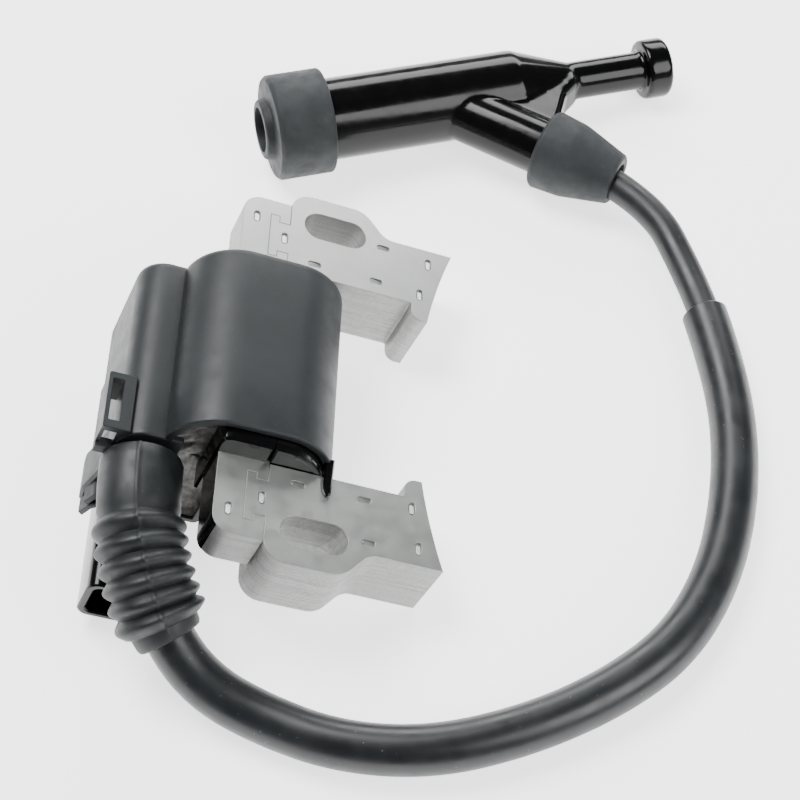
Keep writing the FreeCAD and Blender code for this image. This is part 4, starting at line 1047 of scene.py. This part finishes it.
def add_end_lip():
    """The low round bead along the right edge of the end plate."""
    mesh = Builder()
    steps = 12
    rings = []
    for u, v in arc((OVAL_RIGHT, OVAL_HEIGHT), END_LIP_RADIUS, 75, -60, 24):
        way = Vector((u - OVAL_RIGHT, v - OVAL_HEIGHT)).normalized()
        points = []
        for step in range(steps):
            angle = 2 * math.pi * step / steps
            reach = END_LIP_THICKNESS * math.cos(angle)
            points.append((u + way.x * reach, v + way.y * reach, END_PLATE + 0.1 * math.sin(angle)))
        rings.append(mesh.ring(points))
    for first, second in zip(rings, rings[1:]):
        mesh.bridge(first, second)
    mesh.add(tuple(reversed(rings[0])))
    mesh.add(tuple(rings[-1]))
    settle(mesh.object("bobbin_end_lip", "glossy_plastic", ACROSS, 60.0), "coil", "bobbin_plastic")


def add_end_wall():
    """The part of the near end that is closed, round the tower."""
    corners = [(-15.3, -31.7, 1.2), (-3.0, -31.7, 0.4), (-3.0, -4.05, 0.4), (-15.3, -4.05, 5.6)]
    mesh = Builder()
    mesh.plate(filleted(corners), [], 20.1, CASE_HALF - 0.1, 0.3)
    settle(mesh.object("case_end_wall", "case_plastic", ACROSS), "coil", "case_plastic")


def add_tower():
    """The tower that the boot grips."""
    tower = [(-10.0, 0.0), (-10.0, 5.5), (-27.6, 5.4), (-28.0, 5.0), (-28.0, 3.7), (-20.0, 3.7)]
    tower.append((-20.0, 0.0))
    turn = UNIT @ Matrix.Translation(Vector((-9.1, 0, -12.2)) * MM) @ Matrix.Rotation(math.pi / 2, 4, "Z")
    piece = lathe("case_tower", tower, "case_plastic", turn, 64)
    settle(piece, "coil", "case_plastic")


def add_clip_loop():
    """The square loop on the box's front corner, open through its front and its near end."""
    outer = [(-19.2, -21.7, 0.4), (-13.6, -21.7, 0.2), (-13.6, -8.6, 0.2), (-19.2, -8.6, 0.4)]
    window = [(-18.3, -19.8, 0.2), (-16.1, -19.8, 0.2), (-16.1, -10.2, 0.2), (-18.3, -10.2, 0.2)]
    mesh = Builder()
    mesh.plate(filleted(outer), [filleted(window)], -5.9, -4.3, 0.15)
    mesh.box((-19.2, -21.6, -11.8), (-18.4, -8.7, -5.8))
    mesh.box((-19.1, -10.1, -11.8), (-14.0, -8.7, -5.8))
    mesh.box((-16.0, -21.6, -14.0), (-14.0, -8.7, -5.8))
    mesh.box((-19.15, -22.6, -12.4), (-14.0, -20.4, -10.2))
    settle(mesh.object("clip_loop", "case_plastic", UNIT), "coil", "case_plastic")


def add_latch_guard():
    """The bulge and the two curved ribs beside the socket."""
    mesh = Builder()
    bulge = [(-13.2, -13.5), (-15.4, -13.5, 0.6), (-16.4, -19.0, 4.0), (-17.8, -26.5, 2.0)]
    bulge += [(-17.4, -30.6, 1.2), (-16.0, -32.0, 0.8), (-13.2, -32.0)]
    mesh.plate(filleted(bulge), [], 14.0, 23.0, 0.6)
    for lower in (0.0, GUARD_RIB_PITCH):
        upper_side = [(-17.2, -25.6 - lower), (-15.9, -21.9 - lower, 3.0), (-13.2, -19.6 - lower)]
        lower_side = [(-13.2, -21.2 - lower), (-15.0, -23.2 - lower, 3.0), (-16.2, -26.6 - lower)]
        strip = filleted(upper_side, closed=False) + filleted(lower_side, closed=False)
        mesh.plate(strip, [], 22.5, 26.5, 0.25)
    settle(mesh.object("latch_guard", "case_plastic", ACROSS), "coil", "case_plastic")


def add_leg_stop():
    """The small stop over the lower leg."""
    mesh = Builder()
    tongue = [(24.2, -20.5), (24.2, -27.6, 0.8), (25.0, -29.4, 0.4), (25.9, -28.6, 0.3), (26.3, -20.5)]
    mesh.plate(filleted(tongue), [], 0.02, 1.2, 0.3)
    settle(mesh.object("leg_stop", "glossy_plastic", UNIT), "coil", "case_plastic")


def add_socket():
    """The connector socket, with a lip at its mouth."""
    outer = filleted([(-14.0, -36.1, 2.5), (-2.6, -36.1, 2.5), (-2.6, -23.3, 2.5), (-14.0, -23.3, 2.5)])
    inner = filleted([(-12.4, -34.5, 1.3), (-4.2, -34.5, 1.3), (-4.2, -24.9, 1.3), (-12.4, -24.9, 1.3)])
    mesh = Builder()
    mesh.plate(outer, [inner], 29.0, 45.4, 0.35)
    mesh.plate(inset(outer, 0.01), [], 19.0, 29.3, 0.05)
    settle(mesh.object("connector_shell", "glossy_plastic", ACROSS), "coil", "case_plastic")


# --- spark plug cap ---

BARREL_START = 2.1
BARREL_RADIUS = 9.5
BARREL_END = 59.3
PLUG_BORE = 6.8
STEM_START = 73.6
STEM_RADIUS = 4.5
KNOB_START = 91.8
KNOB_END = 98.0
KNOB_RADIUS = 7.1
KNOB_EDGE = 0.7
CAVITY_END = 60.0
CAVITY_RADIUS = 4.0
CAVITY_STEP = 27.0
BRANCH_RADIUS = 6.5
BRANCH_END = 35.8
LEAD_HOLE = 3.8
LEAD_HOLE_END = 29.5
VOXEL = 0.38

def add_cap_body():
    """The glossy cap, moulded in one: barrel, cone, stem, knob, branch, and the web between them."""
    outside = [(BARREL_START, PLUG_BORE), (BARREL_START, BARREL_RADIUS), (BARREL_END, BARREL_RADIUS)]
    outside += [(STEM_START, STEM_RADIUS), (KNOB_START, STEM_RADIUS), (KNOB_START, KNOB_RADIUS - 0.4)]
    outside += [(KNOB_START + 0.5, KNOB_RADIUS), (KNOB_END - KNOB_EDGE, KNOB_RADIUS)]
    outside += [(KNOB_END, KNOB_RADIUS - KNOB_EDGE), (KNOB_END, 0.0)]
    inside = [(CAVITY_END, 0.0), (CAVITY_END, CAVITY_RADIUS), (CAVITY_STEP, CAVITY_RADIUS)]
    inside += [(CAVITY_STEP, PLUG_BORE)]
    branch = [(0.0, 0.0), (0.0, BRANCH_RADIUS), (BRANCH_END, BRANCH_RADIUS), (BRANCH_END, LEAD_HOLE)]
    branch += [(LEAD_HOLE_END, LEAD_HOLE), (LEAD_HOLE_END, 0.0)]
    aside = Matrix.Translation((BRANCH_STATION, 0, 0)) @ Matrix.Rotation(-BRANCH_ANGLE, 4, "Z")
    mesh = Builder()
    turned_shell(mesh, inside + outside, Matrix.Identity(4))
    turned_shell(mesh, branch, aside)
    near_seal = aside @ Vector((28.5, 5.8, 0))
    far_seal = aside @ Vector((28.5, 0.0, 0))
    web = [(46.0, -3.0), (74.5, -0.5), (74.2, -4.2), (69.8, -7.6)]
    web += [(near_seal.x, near_seal.y), (far_seal.x, far_seal.y)]
    mesh.plate(web, [], -4.6, 4.6, 1.2)
    piece = mesh.object("cap_moulding", "glossy_plastic", CAP, 180.0)
    remesh = piece.modifiers.new("union", "REMESH")
    remesh.mode = "VOXEL"
    remesh.voxel_size = VOXEL * MM
    remesh.use_smooth_shade = True
    smooth = piece.modifiers.new("fillets", "SMOOTH")
    smooth.factor = 0.5
    smooth.iterations = 14
    settle(piece, "cap", "cap_plastic", "cap_body")


def add_ring_seal():
    """The rubber ring on the mouth, with its lip, and a dark groove against the barrel."""
    corners = [(-2.2, 5.2), (-2.2, 6.8, 0.7), (-0.2, 7.2, 0.4), (0.0, 11.4, 0.6), (0.9, 12.1, 0.6)]
    corners += [(13.1, 12.1, 0.5), (13.1, 10.5, 0.3), (6.0, 10.5), (6.0, 9.55), (1.65, 9.55)]
    corners += [(1.65, 5.2, 0.2)]
    piece = lathe("cap_ring", filleted(corners), "dull_rubber", CAP, 128, 40.0, closed=True)
    settle(piece, "cap", "seal_rubber", "cap_ring_seal")


def add_lead_seal():
    """The tapered rubber sleeve where the lead enters the branch."""
    corners = [(28.0, 6.45), (28.0, 8.8, 0.5), (28.8, 9.3, 0.6), (35.5, 8.8, 8.0), (46.3, 6.0, 0.5)]
    corners += [(46.8, 5.4, 0.3), (46.8, 3.8, 0.3), (36.2, 3.8), (36.2, 6.45)]
    piece = lathe("cap_seal", filleted(corners), "dull_rubber", BRANCH, 96, 40.0, closed=True)
    settle(piece, "cap", "seal_rubber", "cap_lead_seal")


# --- carried-over sub-parts ---

NODE_FINISH = {
    "primary_bobbin": "glossy_plastic",
    "secondary_bobbin": "glossy_plastic",
    "primary_winding": "winding_wire",
    "secondary_winding": "winding_wire",
    "lead_conductor": "winding_wire",
    "circuit_board": "board",
    "power_transistor": "device",
    "control_chip": "device",
    "chip_resistors": "device",
    "filter_capacitor": "can",
    "connector_terminals": "tinned",
    "ground_strap": "tinned",
    "ht_terminal": "brass",
    "cap_terminal": "brass",
    "cap_screw": "brass",
    "cap_resistor": "ceramic",
    "cap_spring": "wire_steel",
}


def finish_nodes():
    """Give every CAD node that still shows its procedural finish."""
    for name, material in NODE_FINISH.items():
        slots = frame["nodes"][name].data.materials
        slots.clear()
        slots.append(MATERIALS[material])


# --- assembly ---

add_camera()
add_surroundings()
lead = add_lead()
path = Path(lead)
boot = add_boot(path)
sleeve = add_sleeve(path)
settle(lead, "coil", "lead_sheath", "ht_lead")
settle(boot, "coil", "boot_rubber", "lead_boot")
settle(sleeve, "coil", "sleeve_plastic", "lead_sleeve")
add_core()
add_bar_painted_reflection()
add_case_shell()
add_resin()
add_end_plate()
add_end_lip()
add_end_wall()
add_tower()
add_clip_loop()
add_latch_guard()
add_leg_stop()
add_socket()
add_cap_body()
add_ring_seal()
add_lead_seal()
finish_nodes()
